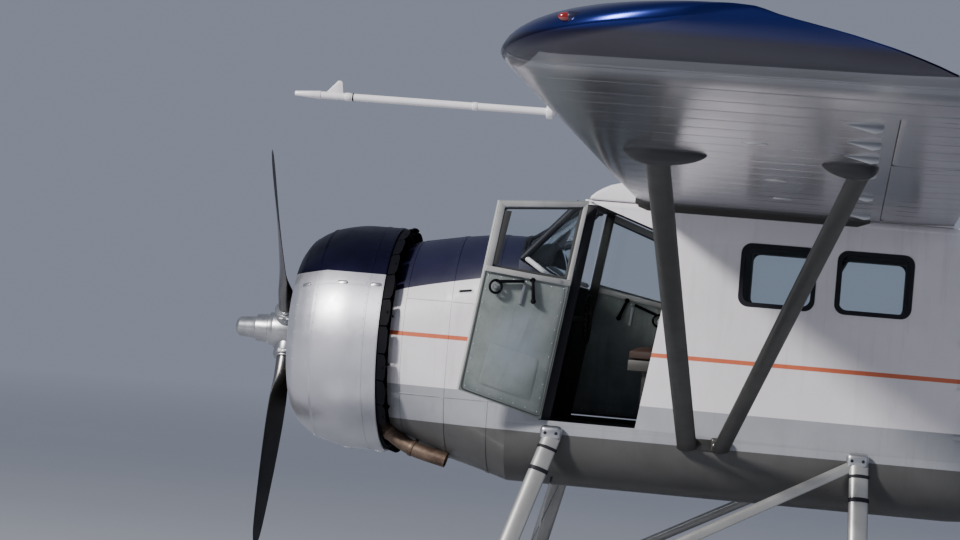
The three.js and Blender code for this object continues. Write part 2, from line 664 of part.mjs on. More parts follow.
function wingSide(side, sign) {
  // Station, share of the full thickness there; towards the tip the underside sweeps up
  const STATIONS = [
    [BODY_HALF + SEAT_GAP, 1], [TIP_START, 1], [TIP_LE_START, 0.97], [7300, 0.9], [7470, 0.78], [7600, 0.64],
    [7710, 0.5], [7790, 0.37], [7830, 0.27], [HALF_SPAN - 3, 0.14],
  ];
  const rings = STATIONS.map(([y, squeeze]) => {
    const [front, rear] = tipEdges(y);
    return wingRing(sign * y, front, rear, (1 - squeeze) * WING_THICK * 0.7, squeeze, (1 - squeeze) * 60);
  });
  const whole = loft(rings);
  const surface = (span, gap) => {
    const ends = [span[0] + gap, span[1] - gap].map((y) => point(SURFACE_AXIS, sign * y, hingeHeight(y)));
    const behind = box(
      point(SURFACE_AXIS, Math.min(ends[0].y, ends[1].y), 500),
      point(WING_LE + CHORD + 100, Math.max(ends[0].y, ends[1].y), 1500),
    );
    return { ends, behind };
  };
  let wing = whole;
  [["flap", FLAP_SPAN], ["aileron", AILERON_SPAN]].forEach(([kind, span]) => {
    const { ends, behind } = surface(span, 0);
    const cove = rod(ends[0], ends[1], SURFACE_NOSE + RUNNING_GAP, 24);
    const spanBox = box(
      point(SURFACE_AXIS - 60, Math.min(ends[0].y, ends[1].y), ends[0].z - 200),
      point(SURFACE_AXIS + 10, Math.max(ends[0].y, ends[1].y), ends[1].z + 260),
    );
    wing = without(wing, behind, cove, spanBox);
    const own = surface(span, RUNNING_GAP);
    const nose = rod(own.ends[0], own.ends[1], SURFACE_NOSE, 24);
    const sock = ends.map((end, i) => {
      const inward = own.ends[1 - i].clone().sub(end).normalize();
      return rod(end.clone().addScaledVector(inward, -5), end.clone().addScaledVector(inward, 60), HINGE_PIN + 0.8, 16);
    });
    const pins = ends.map((end, i) => {
      const inward = own.ends[1 - i].clone().sub(end).normalize();
      return rod(end.clone().addScaledVector(inward, -30), end.clone().addScaledVector(inward, 50), HINGE_PIN, 16);
    });
    wing = union(wing, ...pins);
    const tail = whole.intersect(own.behind);
    const flat = without(union(tail, nose), ...sock);
    add(`${kind}_${side}`, flat, "silver");
  });
  add(`wing_${side}`, wing, "silver");
}

// The fairing between the wing roots, over the cabin roof.
function centreSection() {
  const outline = [
    [2012, ROOF_Z + SEAT_GAP], [2022, 1022], [2052, 1050], [2096, 1078], [2142, 1101], [2210, 1120], [2300, 1142],
    [2380, 1172], [2452, 1198], [2610, 1236], [2890, 1256], [3290, 1232], [3690, 1164], [4050, 1081],
    [4290, 1024], [4300, ROOF_Z + SEAT_GAP],
  ];
  const half = BODY_HALF - SEAT_GAP;
  const roof = bodyLoft(CABIN_STATIONS.map((s) => inset(s, -SEAT_GAP)));
  add("wing_centre_fairing", without(plate(outline, -half, half), roof, windshield("clearance")), "white");
}

const undersideAt = (y) => WING_LOW + (y - BODY_HALF) * Math.tan(DIHEDRAL);

function wingStruts() {
  // Strut: name, lower x, upper x, chord, thickness, front and rear end of the fairing from the upper x
  const STRUTS = [["front", 2750, 2684, 125, 50, -160, 258], ["rear", 2960, 3690, 105, 44, -190, 90]];
  const LOW_Z = -505;
  onBothSides((side, sign) => {
    const bars = STRUTS.map(([, lowX, topX, chord, thick, fore, aft]) => {
      const top = point(topX, sign * STRUT_Y, undersideAt(STRUT_Y) - 20);
      const low = point(lowX, sign * (BODY_HALF + 55), LOW_Z);
      const bar = streamlined(low, top, chord, thick);
      // The canoe-shaped fairing at the wing's underside
      const half = 86;
      const canoe = loft(
        [-1, -0.5, 0, 0.5, 1].map((step) => {
          const y = sign * (STRUT_Y + step * half);
          const deep = [1, 0.82, 0.2][Math.abs(step) * 2];
          const long = [1, 0.92, 0.7][Math.abs(step) * 2];
          return [[1, 0, 0], [0.7, 0, -0.62], [0.25, 0, -0.96], [0, 0.2, -1], [0, 0.6, -0.66], [0, 1, 0],
            [0, 0.8, 0.5], [0.8, 0, 0.5]].map(([front, rear, dz]) =>
            point(topX + (front * fore + rear * aft) * long, y, undersideAt(STRUT_Y) + dz * 68 * deep));
        }),
      );
      const foot = box(
        point(lowX - 55, sign * (BODY_HALF + SEAT_GAP), LOW_Z - 15),
        point(lowX + 55, sign * (BODY_HALF + 75), LOW_Z + 75),
      );
      const wingAbove = loft(
        [BODY_HALF, HALF_SPAN].map((y) =>
          [[2200, -SEAT_GAP], [4400, -SEAT_GAP], [4400, 500], [2200, 500]].map(([x, dz]) =>
            point(x, sign * y, undersideAt(y) + dz))),
      );
      return without(union(bar, canoe, foot), wingAbove);
    });
    const tie = box(
      point(STRUTS[0][1], sign * (BODY_HALF + SEAT_GAP), LOW_Z - 10),
      point(STRUTS[1][1], sign * (BODY_HALF + 12), LOW_Z + 60),
    );
    add(`wing_struts_${side}`, union(tie, ...bars), "silver");
  });
}

// The airspeed boom on the port wing's leading edge.
function pitotBoom() {
  const y = -5180;
  const z = WING_LOW + NOSE_RISE + (5180 - BODY_HALF) * Math.tan(DIHEDRAL);
  const boom = rod(point(1180, y, z), point(WING_LE - SEAT_GAP, y, z), 17, 12);
  const head = rod(point(1060, y, z), point(1185, y, z), 12, 12, 19);
  const fin = plate([[1205, z], [1262, z + 72], [1275, z + 72], [1290, z]], y - 4, y + 4);
  const flange = rod(point(WING_LE - 14, y, z), point(WING_LE - SEAT_GAP, y, z), 34, 16);
  add("pitot_boom", union(boom, head, fin, flange), "silver");
}

function tailCone() {
  const outer = bodyLoft(TAIL_STATIONS);
  const inner = loft(
    TAIL_STATIONS.slice(0, 3).map((s, i) => inset([s[0] + (i === 0 ? -20 : 0), ...s.slice(1)], WALL))
      .map((s) => bodyRing(...s)),
  );
  const tube = rod(point(ELEVATOR_AXIS, -300, TAILPLANE_Z), point(ELEVATOR_AXIS, 300, TAILPLANE_Z), 34, 20);
  const bulkhead = outer.intersect(box(point(CABIN_REAR, -900, -900), point(CABIN_REAR + 25, 900, 1100)));
  const service = box(point(5650, -200, -1000), point(5950, 200, -600));
  const heel = box(point(TAIL_END - 60, -22, -20), point(RUDDER_AXIS + 18, 22, 20));
  const heelPin = rod(point(RUDDER_AXIS, 0, 0), point(RUDDER_AXIS, 0, 75), HINGE_PIN, 16);
  const made = union(without(outer, inner), bulkhead, heel, heelPin);
  add("tail_cone", without(made, tube, tailplaneSlab(SEAT_GAP), service), "white");
}

const TAILPLANE_Z = 395;
const TAILPLANE_FRONT = 7960;
const ELEVATOR_AXIS = 8870;
const ELEVATOR_REAR = 9400;
const TAILPLANE_HALF = 2480;
const ELEVATOR_NOSE = 38;

// Half the thickness of the tailplane at a chord share, in mm
const TAILPLANE_SECTION = [[0, 2], [0.04, 22], [0.2, 44], [0.55, 50], [1, 40]];

// Fixed tailplane: y, front x at that station
function tailplaneRings(gap) {
  const STATIONS = [[-TAILPLANE_HALF, 8560], [-2350, 8330], [-1900, 8160], [0, TAILPLANE_FRONT],
    [1900, 8160], [2350, 8330], [TAILPLANE_HALF, 8560]];
  const rear = ELEVATOR_AXIS - ELEVATOR_NOSE - RUNNING_GAP;
  return STATIONS.map(([y, front]) => {
    const thin = Math.abs(y) > 2400 ? 0.5 : 1;
    const at = (share) => front - gap + share * (rear + 2 * gap - front);
    return [
      ...TAILPLANE_SECTION.map(([share, half]) => point(at(share), y, TAILPLANE_Z + half * thin + gap)),
      ...[...TAILPLANE_SECTION].reverse().map(([share, half]) => point(at(share), y, TAILPLANE_Z - half * thin - gap)),
    ];
  });
}
const tailplaneSlab = (gap) => loft(tailplaneRings(gap));

function tailplane() {
  const ends = [-1, 1].map((sign) => {
    const from = point(ELEVATOR_AXIS, sign * (TAILPLANE_HALF - 40), TAILPLANE_Z);
    const lug = box(
      point(ELEVATOR_AXIS - ELEVATOR_NOSE - RUNNING_GAP - 60, sign * (TAILPLANE_HALF - 40), TAILPLANE_Z - 20),
      point(ELEVATOR_AXIS + 20, sign * TAILPLANE_HALF, TAILPLANE_Z + 20),
    );
    return union(lug, rod(from.clone().setY(sign * (TAILPLANE_HALF - 100)), from, HINGE_PIN, 16));
  });
  const struts = [-1, 1].map((sign) =>
    streamlined(point(8300, sign * 150, -110), point(8500, sign * 1500, TAILPLANE_Z - 30), 60, 26));
  const tail = bodyLoft(TAIL_STATIONS.map((s) => inset(s, -SEAT_GAP)));
  add("tailplane", union(tailplaneSlab(0), ...ends, ...struts.map((strut) => strut.subtract(tail))), "silver");
}

// Both elevator halves turn on one torque tube.
function elevator() {
  const out = TAILPLANE_HALF - 40 - RUNNING_GAP;
  const halves = [-1, 1].map((sign) => {
    const stations = [[330, 9280], [700, ELEVATOR_REAR], [1800, 9330], [2250, 9180], [out, 8960]];
    const rings = stations.map(([y, rear]) => {
      const half = 30;
      return [
        [ELEVATOR_AXIS - 10, half], [rear - 40, 10], [rear, 3], [rear, -3], [rear - 40, -10], [ELEVATOR_AXIS - 10, -half],
      ].map(([x, dz]) => point(x, sign * y, TAILPLANE_Z + dz));
    });
    const nose = rod(
      point(ELEVATOR_AXIS, sign * 330, TAILPLANE_Z), point(ELEVATOR_AXIS, sign * out, TAILPLANE_Z), ELEVATOR_NOSE, 20,
    );
    const socket = rod(
      point(ELEVATOR_AXIS, sign * (out - 70), TAILPLANE_Z), point(ELEVATOR_AXIS, sign * (out + 10), TAILPLANE_Z),
      HINGE_PIN + 0.8, 16,
    );
    return without(union(loft(rings), nose), socket);
  });
  const tube = rod(point(ELEVATOR_AXIS, -340, TAILPLANE_Z), point(ELEVATOR_AXIS, 340, TAILPLANE_Z), 24, 16);
  add("elevator", union(tube, ...halves), "silver");
}

// Fin and rudder sections share one outline height table: z, fin front x, rudder rear x
const FIN_TABLE = [
  [470, 8020, 9600], [700, 8210, 9640], [1050, 8440, RUDDER_REAR], [1400, 8640, 9620], [1700, 8820, 9500], [1840, 8930, 9330],
];

function fin() {
  const rear = RUDDER_AXIS - 44 - RUNNING_GAP;
  const rings = [[380, 7960], ...FIN_TABLE.map(([z, front]) => [z, front])].map(([z, front]) => {
    const half = z > 1600 ? 26 : 40;
    return [[front, 0], [front + 60, half * 0.6], [(front + rear) / 2, half], [rear, half * 0.95],
      [rear, -half * 0.95], [(front + rear) / 2, -half], [front + 60, -half * 0.6]]
      .map(([x, y]) => point(x, y, z));
  });
  const horn = box(point(rear - 60, -16, 1815), point(RUDDER_AXIS + 18, 16, 1860));
  const pin = rod(point(RUDDER_AXIS, 0, 1760), point(RUDDER_AXIS, 0, 1820), HINGE_PIN, 16);
  const tail = bodyLoft(TAIL_STATIONS.map((s) => inset(s, -SEAT_GAP)));
  const tube = rod(point(ELEVATOR_AXIS, -300, TAILPLANE_Z), point(ELEVATOR_AXIS, 300, TAILPLANE_Z), 36, 20);
  add("fin", without(union(loft(rings), horn, pin), tail, tailplaneSlab(SEAT_GAP), tube), "white");
}

function rudder() {
  const LOW = 28;
  const TOP = 1800;
  const rows = [[LOW, 9420], [200, 9560], ...FIN_TABLE.slice(0, 5).map(([z, , rear]) => [z, rear]), [TOP, 9400]];
  const rings = rows.map(([z, rear]) =>
    [[RUDDER_AXIS - 8, 36], [rear - 60, 9], [rear, 3], [rear, -3], [rear - 60, -9], [RUDDER_AXIS - 8, -36]]
      .map(([x, y]) => point(x, y, z)));
  const nose = rod(point(RUDDER_AXIS, 0, LOW), point(RUDDER_AXIS, 0, TOP), 42, 20);
  const sockets = [[0, 90], [TOP - 60, TOP + 10]].map(([low, high]) =>
    rod(point(RUDDER_AXIS, 0, low), point(RUDDER_AXIS, 0, high), HINGE_PIN + 0.8, 16));
  add("rudder", without(union(loft(rings), nose), ...sockets), "white");
}

// Float stations: x, half beam, keel, chine and deck heights above the ground
const FOREBODY = [
  [-600, 60, 500, 570, 690],
  [-380, 230, 290, 450, 755],
  [20, 365, 105, 325, 785],
  [600, 440, 0, 245, 785],
  [1600, 475, 0, 205, 765],
  [FLOAT_STEP, 475, 0, 190, 725],
];
const AFTERBODY = [
  [FLOAT_STEP - 1, 474, 90, 245, 725],
  [5200, 360, 260, 385, 665],
  [6600, 140, 420, 480, 620],
];
const DECK_ROUND = 85;
const KEEL_HALF = 20;

function floatRing([x, half, keel, chine, deck], y) {
  const round = Math.min(DECK_ROUND, half * 0.4);
  const right = [
    [KEEL_HALF, keel], [half, chine], [half, deck - round], [half - round * 0.3, deck - round * 0.3],
    [half - round, deck],
  ];
  const outline = [...right, [0, deck + 12], ...[...right].reverse().map(([a, b]) => [-a, b])];
  return outline.map(([across, up]) => point(x, y + across, KEEL_Z + up));
}

const floatHull = (y, gap) =>
  union(...[FOREBODY, AFTERBODY].map((rows) =>
    loft(rows.map(([x, half, keel, chine, deck]) =>
      floatRing([x, half + gap, keel - gap, chine, deck + gap], y)))));

const deckAt = (x) => {
  const rows = x < FLOAT_STEP ? FOREBODY : AFTERBODY;
  const i = Math.max(1, rows.findIndex((row) => row[0] >= x));
  const share = (x - rows[i - 1][0]) / (rows[i][0] - rows[i - 1][0]);
  return KEEL_Z + rows[i - 1][4] + share * (rows[i][4] - rows[i - 1][4]) + 12;
};

const STRUT_FEET = { front: 1560, rear: 3900 }; // where the float struts stand on the decks

function floats() {
  onBothSides((side, sign) => {
    const y = sign * FLOAT_Y;
    const hull = floatHull(y, 0);
    const post = [5, 55].map((dx) => point(6600 + dx, y, 0));
    const bracket = union(
      box(point(6560, y - 30, KEEL_Z + 560), point(post[1].x + 20, y + 30, KEEL_Z + 600)),
      rod(point(post[1].x, y, KEEL_Z + 540), point(post[1].x, y, KEEL_Z + 580), HINGE_PIN, 16),
    );
    const pads = Object.values(STRUT_FEET).map((x) =>
      box(point(x - 90, y - 90, deckAt(x) - 60), point(x + 90, y + 90, deckAt(x) + 8)));
    add(`float_${side}`, union(hull, bracket, ...pads), "silver");

    const pivot = post[1].x;
    const stock = rod(point(pivot, y, KEEL_Z + 230), point(pivot, y, KEEL_Z + 560 - SEAT_GAP), 26, 16);
    const blade = plate(
      [[pivot - 5, 240], [pivot + 190, 130], [pivot + 250, 170], [pivot + 230, 330], [pivot - 5, 470]]
        .map(([x, z]) => [x, z + KEEL_Z]),
      y - 5, y + 5,
    );
    const socket = rod(point(pivot, y, KEEL_Z + 530), point(pivot, y, KEEL_Z + 590), HINGE_PIN + 0.8, 16);
    add(`water_rudder_${side}`, without(union(stock, blade), socket), "silver");

    const nose = solid(new THREE.SphereGeometry(95, 16, 10));
    const bumper = nose.scale([0.9, 0.75, 0.75]).translate([BOW_END + 85.5, y, KEEL_Z + 625]);
    add(`float_bumper_${side}`, bumper.subtract(floatHull(y, SEAT_GAP)), "black");
  });
}

function floatStruts() {
  // Strut: name, fuselage x, foot x, chord
  const MAIN = [["front", 1900, STRUT_FEET.front, 120], ["rear", 3820, STRUT_FEET.rear, 120]];
  const TOP_Z = -505;
  const footY = FLOAT_Y - 60;
  onBothSides((side, sign) => {
    const posts = MAIN.map(([, topX, footX, chord]) => {
      const head = point(topX, sign * (BODY_HALF + 40), TOP_Z);
      const foot = point(footX, sign * footY, deckAt(footX) + 30);
      return union(
        streamlined(foot, head, chord, 52),
        box(
          point(topX - 70, sign * (BODY_HALF + SEAT_GAP), TOP_Z - 35),
          point(topX + 70, sign * (BODY_HALF + 75), TOP_Z + 60),
        ),
        box(
          point(footX - 70, sign * (footY - 28), deckAt(footX) + 8 + SEAT_GAP),
          point(footX + 70, sign * (footY + 28), deckAt(footX) + 60),
        ),
      );
    });
    // The diagonal runs from the rear strut's head to the front strut's foot.
    const up = point(3800, sign * (BODY_HALF + 44), TOP_Z - 10);
    const down = point(1600, sign * footY, deckAt(STRUT_FEET.front) + 50);
    add(`float_struts_${side}`, union(streamlined(down, up, 70, 34), ...posts), "silver");
  });
  // Two spreader bars hold the floats apart.
  Object.entries(STRUT_FEET).forEach(([name, x]) => {
    const reach = FLOAT_Y - 200;
    const z = KEEL_Z + 560;
    const bar = streamlined(point(x, -reach, z), point(x, reach, z), 90, 60);
    const clear = [-1, 1].map((sign) => floatHull(sign * FLOAT_Y, SEAT_GAP));
    add(`float_spreader_${name}`, without(bar, ...clear), "silver");
  });
}

engine();
cowl();
cowlFlaps();
propeller();
noseBody();
cabin();
exhaust();
windshield();
doors();
sideGlass();
cockpit();
onBothSides(wingSide);
centreSection();
wingStruts();
pitotBoom();
tailCone();
tailplane();
elevator();
fin();
rudder();
floats();
floatStruts();

export default airframe;
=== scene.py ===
import math

import bmesh
import bpy
from bpy.props import FloatProperty, FloatVectorProperty, IntProperty, PointerProperty
from mathutils import Matrix, Vector


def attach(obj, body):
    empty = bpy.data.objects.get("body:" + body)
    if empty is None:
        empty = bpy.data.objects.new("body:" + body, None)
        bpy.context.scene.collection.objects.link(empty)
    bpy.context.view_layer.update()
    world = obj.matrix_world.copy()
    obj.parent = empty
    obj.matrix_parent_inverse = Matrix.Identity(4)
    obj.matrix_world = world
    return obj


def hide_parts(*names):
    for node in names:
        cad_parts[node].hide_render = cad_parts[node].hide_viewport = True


bl_info = {
    "name": "Floatplane looks",
    "version": (1, 0, 0),
    "blender": (4, 5, 0),
    "location": "3D View > Sidebar > Floatplane",
    "description": "Dresses the packed floatplane: smooth forms, finishes, small fittings and the studio",
    "category": "Object",
}

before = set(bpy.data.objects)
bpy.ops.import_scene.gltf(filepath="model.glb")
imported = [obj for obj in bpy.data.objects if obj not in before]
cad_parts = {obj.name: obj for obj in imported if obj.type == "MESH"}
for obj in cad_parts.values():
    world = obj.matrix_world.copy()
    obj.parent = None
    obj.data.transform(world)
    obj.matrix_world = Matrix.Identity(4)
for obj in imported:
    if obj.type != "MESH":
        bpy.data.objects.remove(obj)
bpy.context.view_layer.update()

# Metres. Positions are written as on the airframe's drawing, from the propeller's centre: x aft, y to
# starboard, z up. at() turns them into the part's frame, which stands on the keels.
PROPELLER_BEHIND_MIDDLE = -4.475
THRUST_LINE_HEIGHT = 2.55
DIHEDRAL = math.radians(1.5)
# Distance below which points are one point, and the limits of an angle that counts as a corner
MERGE = 1e-5
SHARP = math.radians(50)
CORNER = math.radians(40)


def at(x, y, z):
    return Vector((x + PROPELLER_BEHIND_MIDDLE, y, z + THRUST_LINE_HEIGHT))


# Helpers for modelling


def clear_selection():
    """Leaves edit mode and selects nothing."""
    if bpy.context.object and bpy.context.object.mode != "OBJECT":
        bpy.ops.object.mode_set(mode="OBJECT")
    bpy.ops.object.select_all(action="DESELECT")


def only(piece):
    """Makes one piece the selected and active one."""
    clear_selection()
    piece.select_set(True)
    bpy.context.view_layer.objects.active = piece
    return piece


def applied(piece, kind, **settings):
    """Adds a modifier with its settings and applies it."""
    only(piece)
    modifier = piece.modifiers.new(kind.title(), kind)
    for key, value in settings.items():
        setattr(modifier, key, value)
    bpy.ops.object.modifier_apply(modifier=modifier.name)
    return piece


def smooth(piece, degrees=32):
    """Shades the piece smooth up to an angle between faces."""
    only(piece)
    bpy.ops.object.shade_smooth_by_angle(angle=math.radians(degrees))
    return piece


def placed(piece, name):
    """Bakes the object's place into its mesh and names it."""
    only(piece)
    bpy.ops.object.transform_apply(location=True, rotation=True, scale=True)
    piece.name = name
    piece.data.name = name
    return piece


def outward(piece):
    """Merges doubles and turns every face outwards."""
    only(piece)
    bpy.ops.object.mode_set(mode="EDIT")
    bpy.ops.mesh.select_all(action="SELECT")
    bpy.ops.mesh.remove_doubles(threshold=MERGE)
    bpy.ops.mesh.normals_make_consistent(inside=False)
    bpy.ops.object.mode_set(mode="OBJECT")
    return piece


def joined(pieces, name):
    """Joins several pieces into one."""
    clear_selection()
    for piece in pieces:
        piece.select_set(True)
    bpy.context.view_layer.objects.active = pieces[0]
    if len(pieces) > 1:
        bpy.ops.object.join()
    pieces[0].name = name
    pieces[0].data.name = name
    return pieces[0]


def slab(low, high, bevel=0.003, segments=2):
    """A block between two corners with its edges rounded."""
    clear_selection()
    low, high = Vector(low), Vector(high)
    bpy.ops.mesh.primitive_cube_add(size=1, location=(low + high) / 2)
    piece = bpy.context.object
    piece.scale = [abs(a) for a in high - low]
    placed(piece, "block")
    if bevel:
        applied(piece, "BEVEL", width=bevel, segments=segments)
    return piece


def bar(start, end, radius, end_radius=None, sides=16, bevel=0.0):
    """A round bar, or a cone where its end has another radius, from one point to another."""
    clear_selection()
    start, end = Vector(start), Vector(end)
    along = end - start
    bpy.ops.mesh.primitive_cone_add(
        vertices=sides, radius1=radius, radius2=radius if end_radius is None else end_radius,
        depth=along.length, location=(start + end) / 2,
        rotation=along.to_track_quat("Z", "Y").to_euler(),
    )
    piece = placed(bpy.context.object, "bar")
    if bevel:
        applied(piece, "BEVEL", width=bevel, segments=2, limit_method="ANGLE", angle_limit=SHARP)
    return piece


def knob(centre, radius, squeeze=(1, 1, 1), rings=10):
    """A round knob, squeezed along the axes where asked."""
    clear_selection()
    bpy.ops.mesh.primitive_uv_sphere_add(segments=2 * rings, ring_count=rings, radius=radius, location=centre)
    bpy.context.object.scale = squeeze
    return placed(bpy.context.object, "knob")


def skin(rings, closed_along=False):
    """A grid laid over closed rings of points, with its seam merged and its ends filled."""
    around = len(rings[0])
    rows = [*rings, rings[0]] if closed_along else rings
    clear_selection()
    bpy.ops.mesh.primitive_grid_add(x_subdivisions=around, y_subdivisions=len(rows) - 1, size=1)
    piece = bpy.context.object
    places = [p for ring in rows for p in [*ring, ring[0]]]
    for vertex, place in zip(piece.data.vertices, places):
        vertex.co = place
    bpy.ops.object.mode_set(mode="EDIT")
    bpy.ops.mesh.select_all(action="SELECT")
    bpy.ops.mesh.remove_doubles(threshold=MERGE)
    mesh = bmesh.from_edit_mesh(piece.data)
    open_edges = [e for e in mesh.edges if e.is_boundary]
    bmesh.ops.holes_fill(mesh, edges=open_edges, sides=0)
    bmesh.update_edit_mesh(piece.data)
    bpy.ops.mesh.normals_make_consistent(inside=False)
    bpy.ops.object.mode_set(mode="OBJECT")
    return piece


def turned(profile, segments=72, closed=False, centre=(0, 0)):
    """A shape turned about the thrust line, or a line beside it: the profile holds (x, radius)."""
    cy, cz = centre
    rings = [
        [
            at(x, cy + r * math.sin(2 * math.pi * i / segments),
               cz + r * math.cos(2 * math.pi * i / segments))
            for i in range(segments)
        ]
        for x, r in profile
    ]
    return skin(rings, closed_along=closed)


def swept(points, radius, sides=12):
    """A tube along a line of points."""
    points = [Vector(p) for p in points]
    rings = []
    side = None
    for i, point in enumerate(points):
        along = (points[min(i + 1, len(points) - 1)] - points[max(i - 1, 0)]).normalized()
        if side is None:
            side = along.orthogonal().normalized()
        side = (side - along * side.dot(along)).normalized()
        up = along.cross(side)
        share = radius(i / (len(points) - 1)) if callable(radius) else radius
        rings.append([
            point + share * (side * math.cos(2 * math.pi * k / sides)
                             + up * math.sin(2 * math.pi * k / sides))
            for k in range(sides)
        ])
    return skin(rings)


def curve_through(points, steps=8):
    """Points of a smooth line through the given ones."""
    points = [Vector(p) for p in points]
    ends = [2 * points[0] - points[1], *points, 2 * points[-1] - points[-2]]
    line = []
    for i in range(1, len(ends) - 2):
        a, b, c, d = ends[i - 1:i + 3]
        for k in range(steps):
            t = k / steps
            line.append(0.5 * (2 * b + (c - a) * t + (2 * a - 5 * b + 4 * c - d) * t ** 2
                               + (3 * b - 3 * c + d - a) * t ** 3))
    return [*line, points[-1]]


def repeated(pattern, places, name):
    """One mesh that holds a copy of the pattern at each matrix; the pattern itself goes."""
    corners = [vertex.co.copy() for vertex in pattern.data.vertices]
    faces = [tuple(face.vertices) for face in pattern.data.polygons]
    points, sides = [], []
    for i, place in enumerate(places):
        points += [place @ corner for corner in corners]
        sides += [[k + i * len(corners) for k in face] for face in faces]
    mesh = bpy.data.meshes.new(name)
    mesh.from_pydata(points, [], sides)
    piece = bpy.data.objects.new(name, mesh)
    bpy.context.scene.collection.objects.link(piece)
    bpy.data.objects.remove(pattern)
    return piece


def facing(point, normal, turn=0.0):
    """The matrix that sets a pattern drawn around +Z on a point of a surface."""
    return Matrix.Translation(point) @ Vector(normal).to_track_quat("Z", "Y").to_matrix().to_4x4() \
        @ Matrix.Rotation(turn, 4, "Z")


def turned_about(pivot, angle, axis):
    """A turn about an axis through a point."""
    return Matrix.Translation(pivot) @ Matrix.Rotation(angle, 4, axis) @ Matrix.Translation(-pivot)


def rivet_rows(name, seats, radius=0.004, height=0.0016):
    """Low domes on a surface: each seat is a point and the surface's normal there."""
    clear_selection()
    bpy.ops.mesh.primitive_cone_add(vertices=6, radius1=radius, radius2=radius * 0.45, depth=height)
    pattern = bpy.context.object
    pattern.data.transform(Matrix.Translation((0, 0, height * 0.35)))
    return repeated(pattern, [facing(p, n) for p, n in seats], name)


def along_line(start, end, pitch):
    """Points from start to end, a pitch apart."""
    start, end = Vector(start), Vector(end)
    count = max(1, round((end - start).length / pitch))
    return [start.lerp(end, i / count) for i in range(count + 1)]


def carried(node_name, name=None, bevel=0.0, angle=32, merge=2e-5):
    """A copy of a CAD node with merged points, fewer needless edges, soft corners and smooth shading."""
    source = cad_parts[node_name]
    name = name or f"{node_name}_dressed"
    piece = bpy.data.objects.new(name, source.data.copy())
    bpy.context.scene.collection.objects.link(piece)
    piece.data.materials.clear()
    only(piece)
    bpy.ops.object.mode_set(mode="EDIT")
    bpy.ops.mesh.select_all(action="SELECT")
    bpy.ops.mesh.remove_doubles(threshold=merge)
    bpy.ops.mesh.dissolve_limited(angle_limit=math.radians(0.3))
    bpy.ops.object.mode_set(mode="OBJECT")
    if bevel:
        applied(piece, "BEVEL", width=bevel, segments=2, limit_method="ANGLE", angle_limit=CORNER)
    smooth(piece, angle)
    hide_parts(node_name)
    return piece


def dress(piece, body, slot, *materials, choose=None):
    """Gives a piece its finishes and its body; slot is not used. choose(centre, normal) picks a finish by
    number.
    """
    piece.data.materials.clear()
    for material in materials:
        piece.data.materials.append(material)
    if choose:
        for face in piece.data.polygons:
            face.material_index = choose(face.center, face.normal)
    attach(piece, body)
    return piece


def settle(pieces, name, degrees, slot, material, body="airframe"):
    """Joins pieces into one, shades it smooth where an angle is given, and dresses it."""
    piece = joined(pieces, name)
    if degrees is not None:
        smooth(piece, degrees)
    return dress(piece, body, slot, paint(material))


def riveted(name, seats):
    """Rows of rivets in the fuselage's paint."""
    return dress(rivet_rows(name, seats, sizes().rivet), "airframe", "white_paint", paint("hull_paint"))


def cut(piece, cutter):
    """Takes the cutter's shape out of the piece; the cutter itself goes."""
    applied(piece, "BOOLEAN", operation="DIFFERENCE", object=cutter, solver="EXACT")
    bpy.data.objects.remove(cutter)


def kept(piece, name, degrees=45):
    """Names a single piece and shades it smooth."""
    piece.name = name
    return smooth(piece, degrees)


# Helpers for finishes

COAT_ROUGHNESS = 0.12
STAIN_TONE = 0.28


def node(tree, kind, inputs=None, **settings):
    """Adds a node, sets it up, and links or sets its inputs by name or number."""
    made = tree.nodes.new(kind)
    for key, value in settings.items():
        setattr(made, key, value)
    for key, value in (inputs or {}).items():
        if isinstance(value, bpy.types.NodeSocket):
            tree.links.new(value, made.inputs[key])
        else:
            made.inputs[key].default_value = value
    return made


def mixed(tree, share, first, second):
    """A colour between two, by a share."""
    made = tree.nodes.new("ShaderNodeMix")
    made.data_type = "RGBA"
    sockets = {socket.identifier: socket for socket in made.inputs}
    for key, value in (("Factor_Float", share), ("A_Color", first), ("B_Color", second)):
        if isinstance(value, bpy.types.NodeSocket):
            tree.links.new(value, sockets[key])
        else:
            sockets[key].default_value = value if key == "Factor_Float" else (*value[:3], 1.0)
    return next(socket for socket in made.outputs if socket.identifier == "Result_Color")


def math_node(tree, operation, *values):
    return node(tree, "ShaderNodeMath", dict(enumerate(values)), operation=operation).outputs[0]


def plus(tree, first, second):
    return math_node(tree, "ADD", first, second)


def less(tree, first, second):
    return math_node(tree, "SUBTRACT", first, second)


def times(tree, first, second):
    return math_node(tree, "MULTIPLY", first, second)


def ramp(tree, value, low, high, start=0.0, end=1.0):
    """Maps a value from one range to another, held at both ends."""
    return node(tree, "ShaderNodeMapRange", {
        "Value": value, "From Min": low, "From Max": high, "To Min": start, "To Max": end,
    }).outputs["Result"]


def noise(tree, place, scale, detail=4.0, roughness=0.55, distortion=0.0):
    return node(tree, "ShaderNodeTexNoise", {
        "Vector": place, "Scale": scale, "Detail": detail, "Roughness": roughness, "Distortion": distortion,
    }).outputs["Fac"]


def stretched(tree, place, scale, turn=(0, 0, 0), shift=(0, 0, 0)):
    """The coordinates scaled by axis, so that a pattern runs long one way."""
    return node(tree, "ShaderNodeMapping", {
        "Vector": place, "Location": shift, "Rotation": turn, "Scale": scale,
    }).outputs["Vector"]


def axes_of(tree, place):
    """The airframe's x, y and z of a place, as drawing positions in metres."""
    split = node(tree, "ShaderNodeSeparateXYZ", {"Vector": place}).outputs
    return (
        less(tree, split["X"], PROPELLER_BEHIND_MIDDLE),
        split["Y"],
        less(tree, split["Z"], THRUST_LINE_HEIGHT),
    )


def above(tree, value, limit, soft=0.0015):
    return ramp(tree, value, limit - soft, limit + soft)


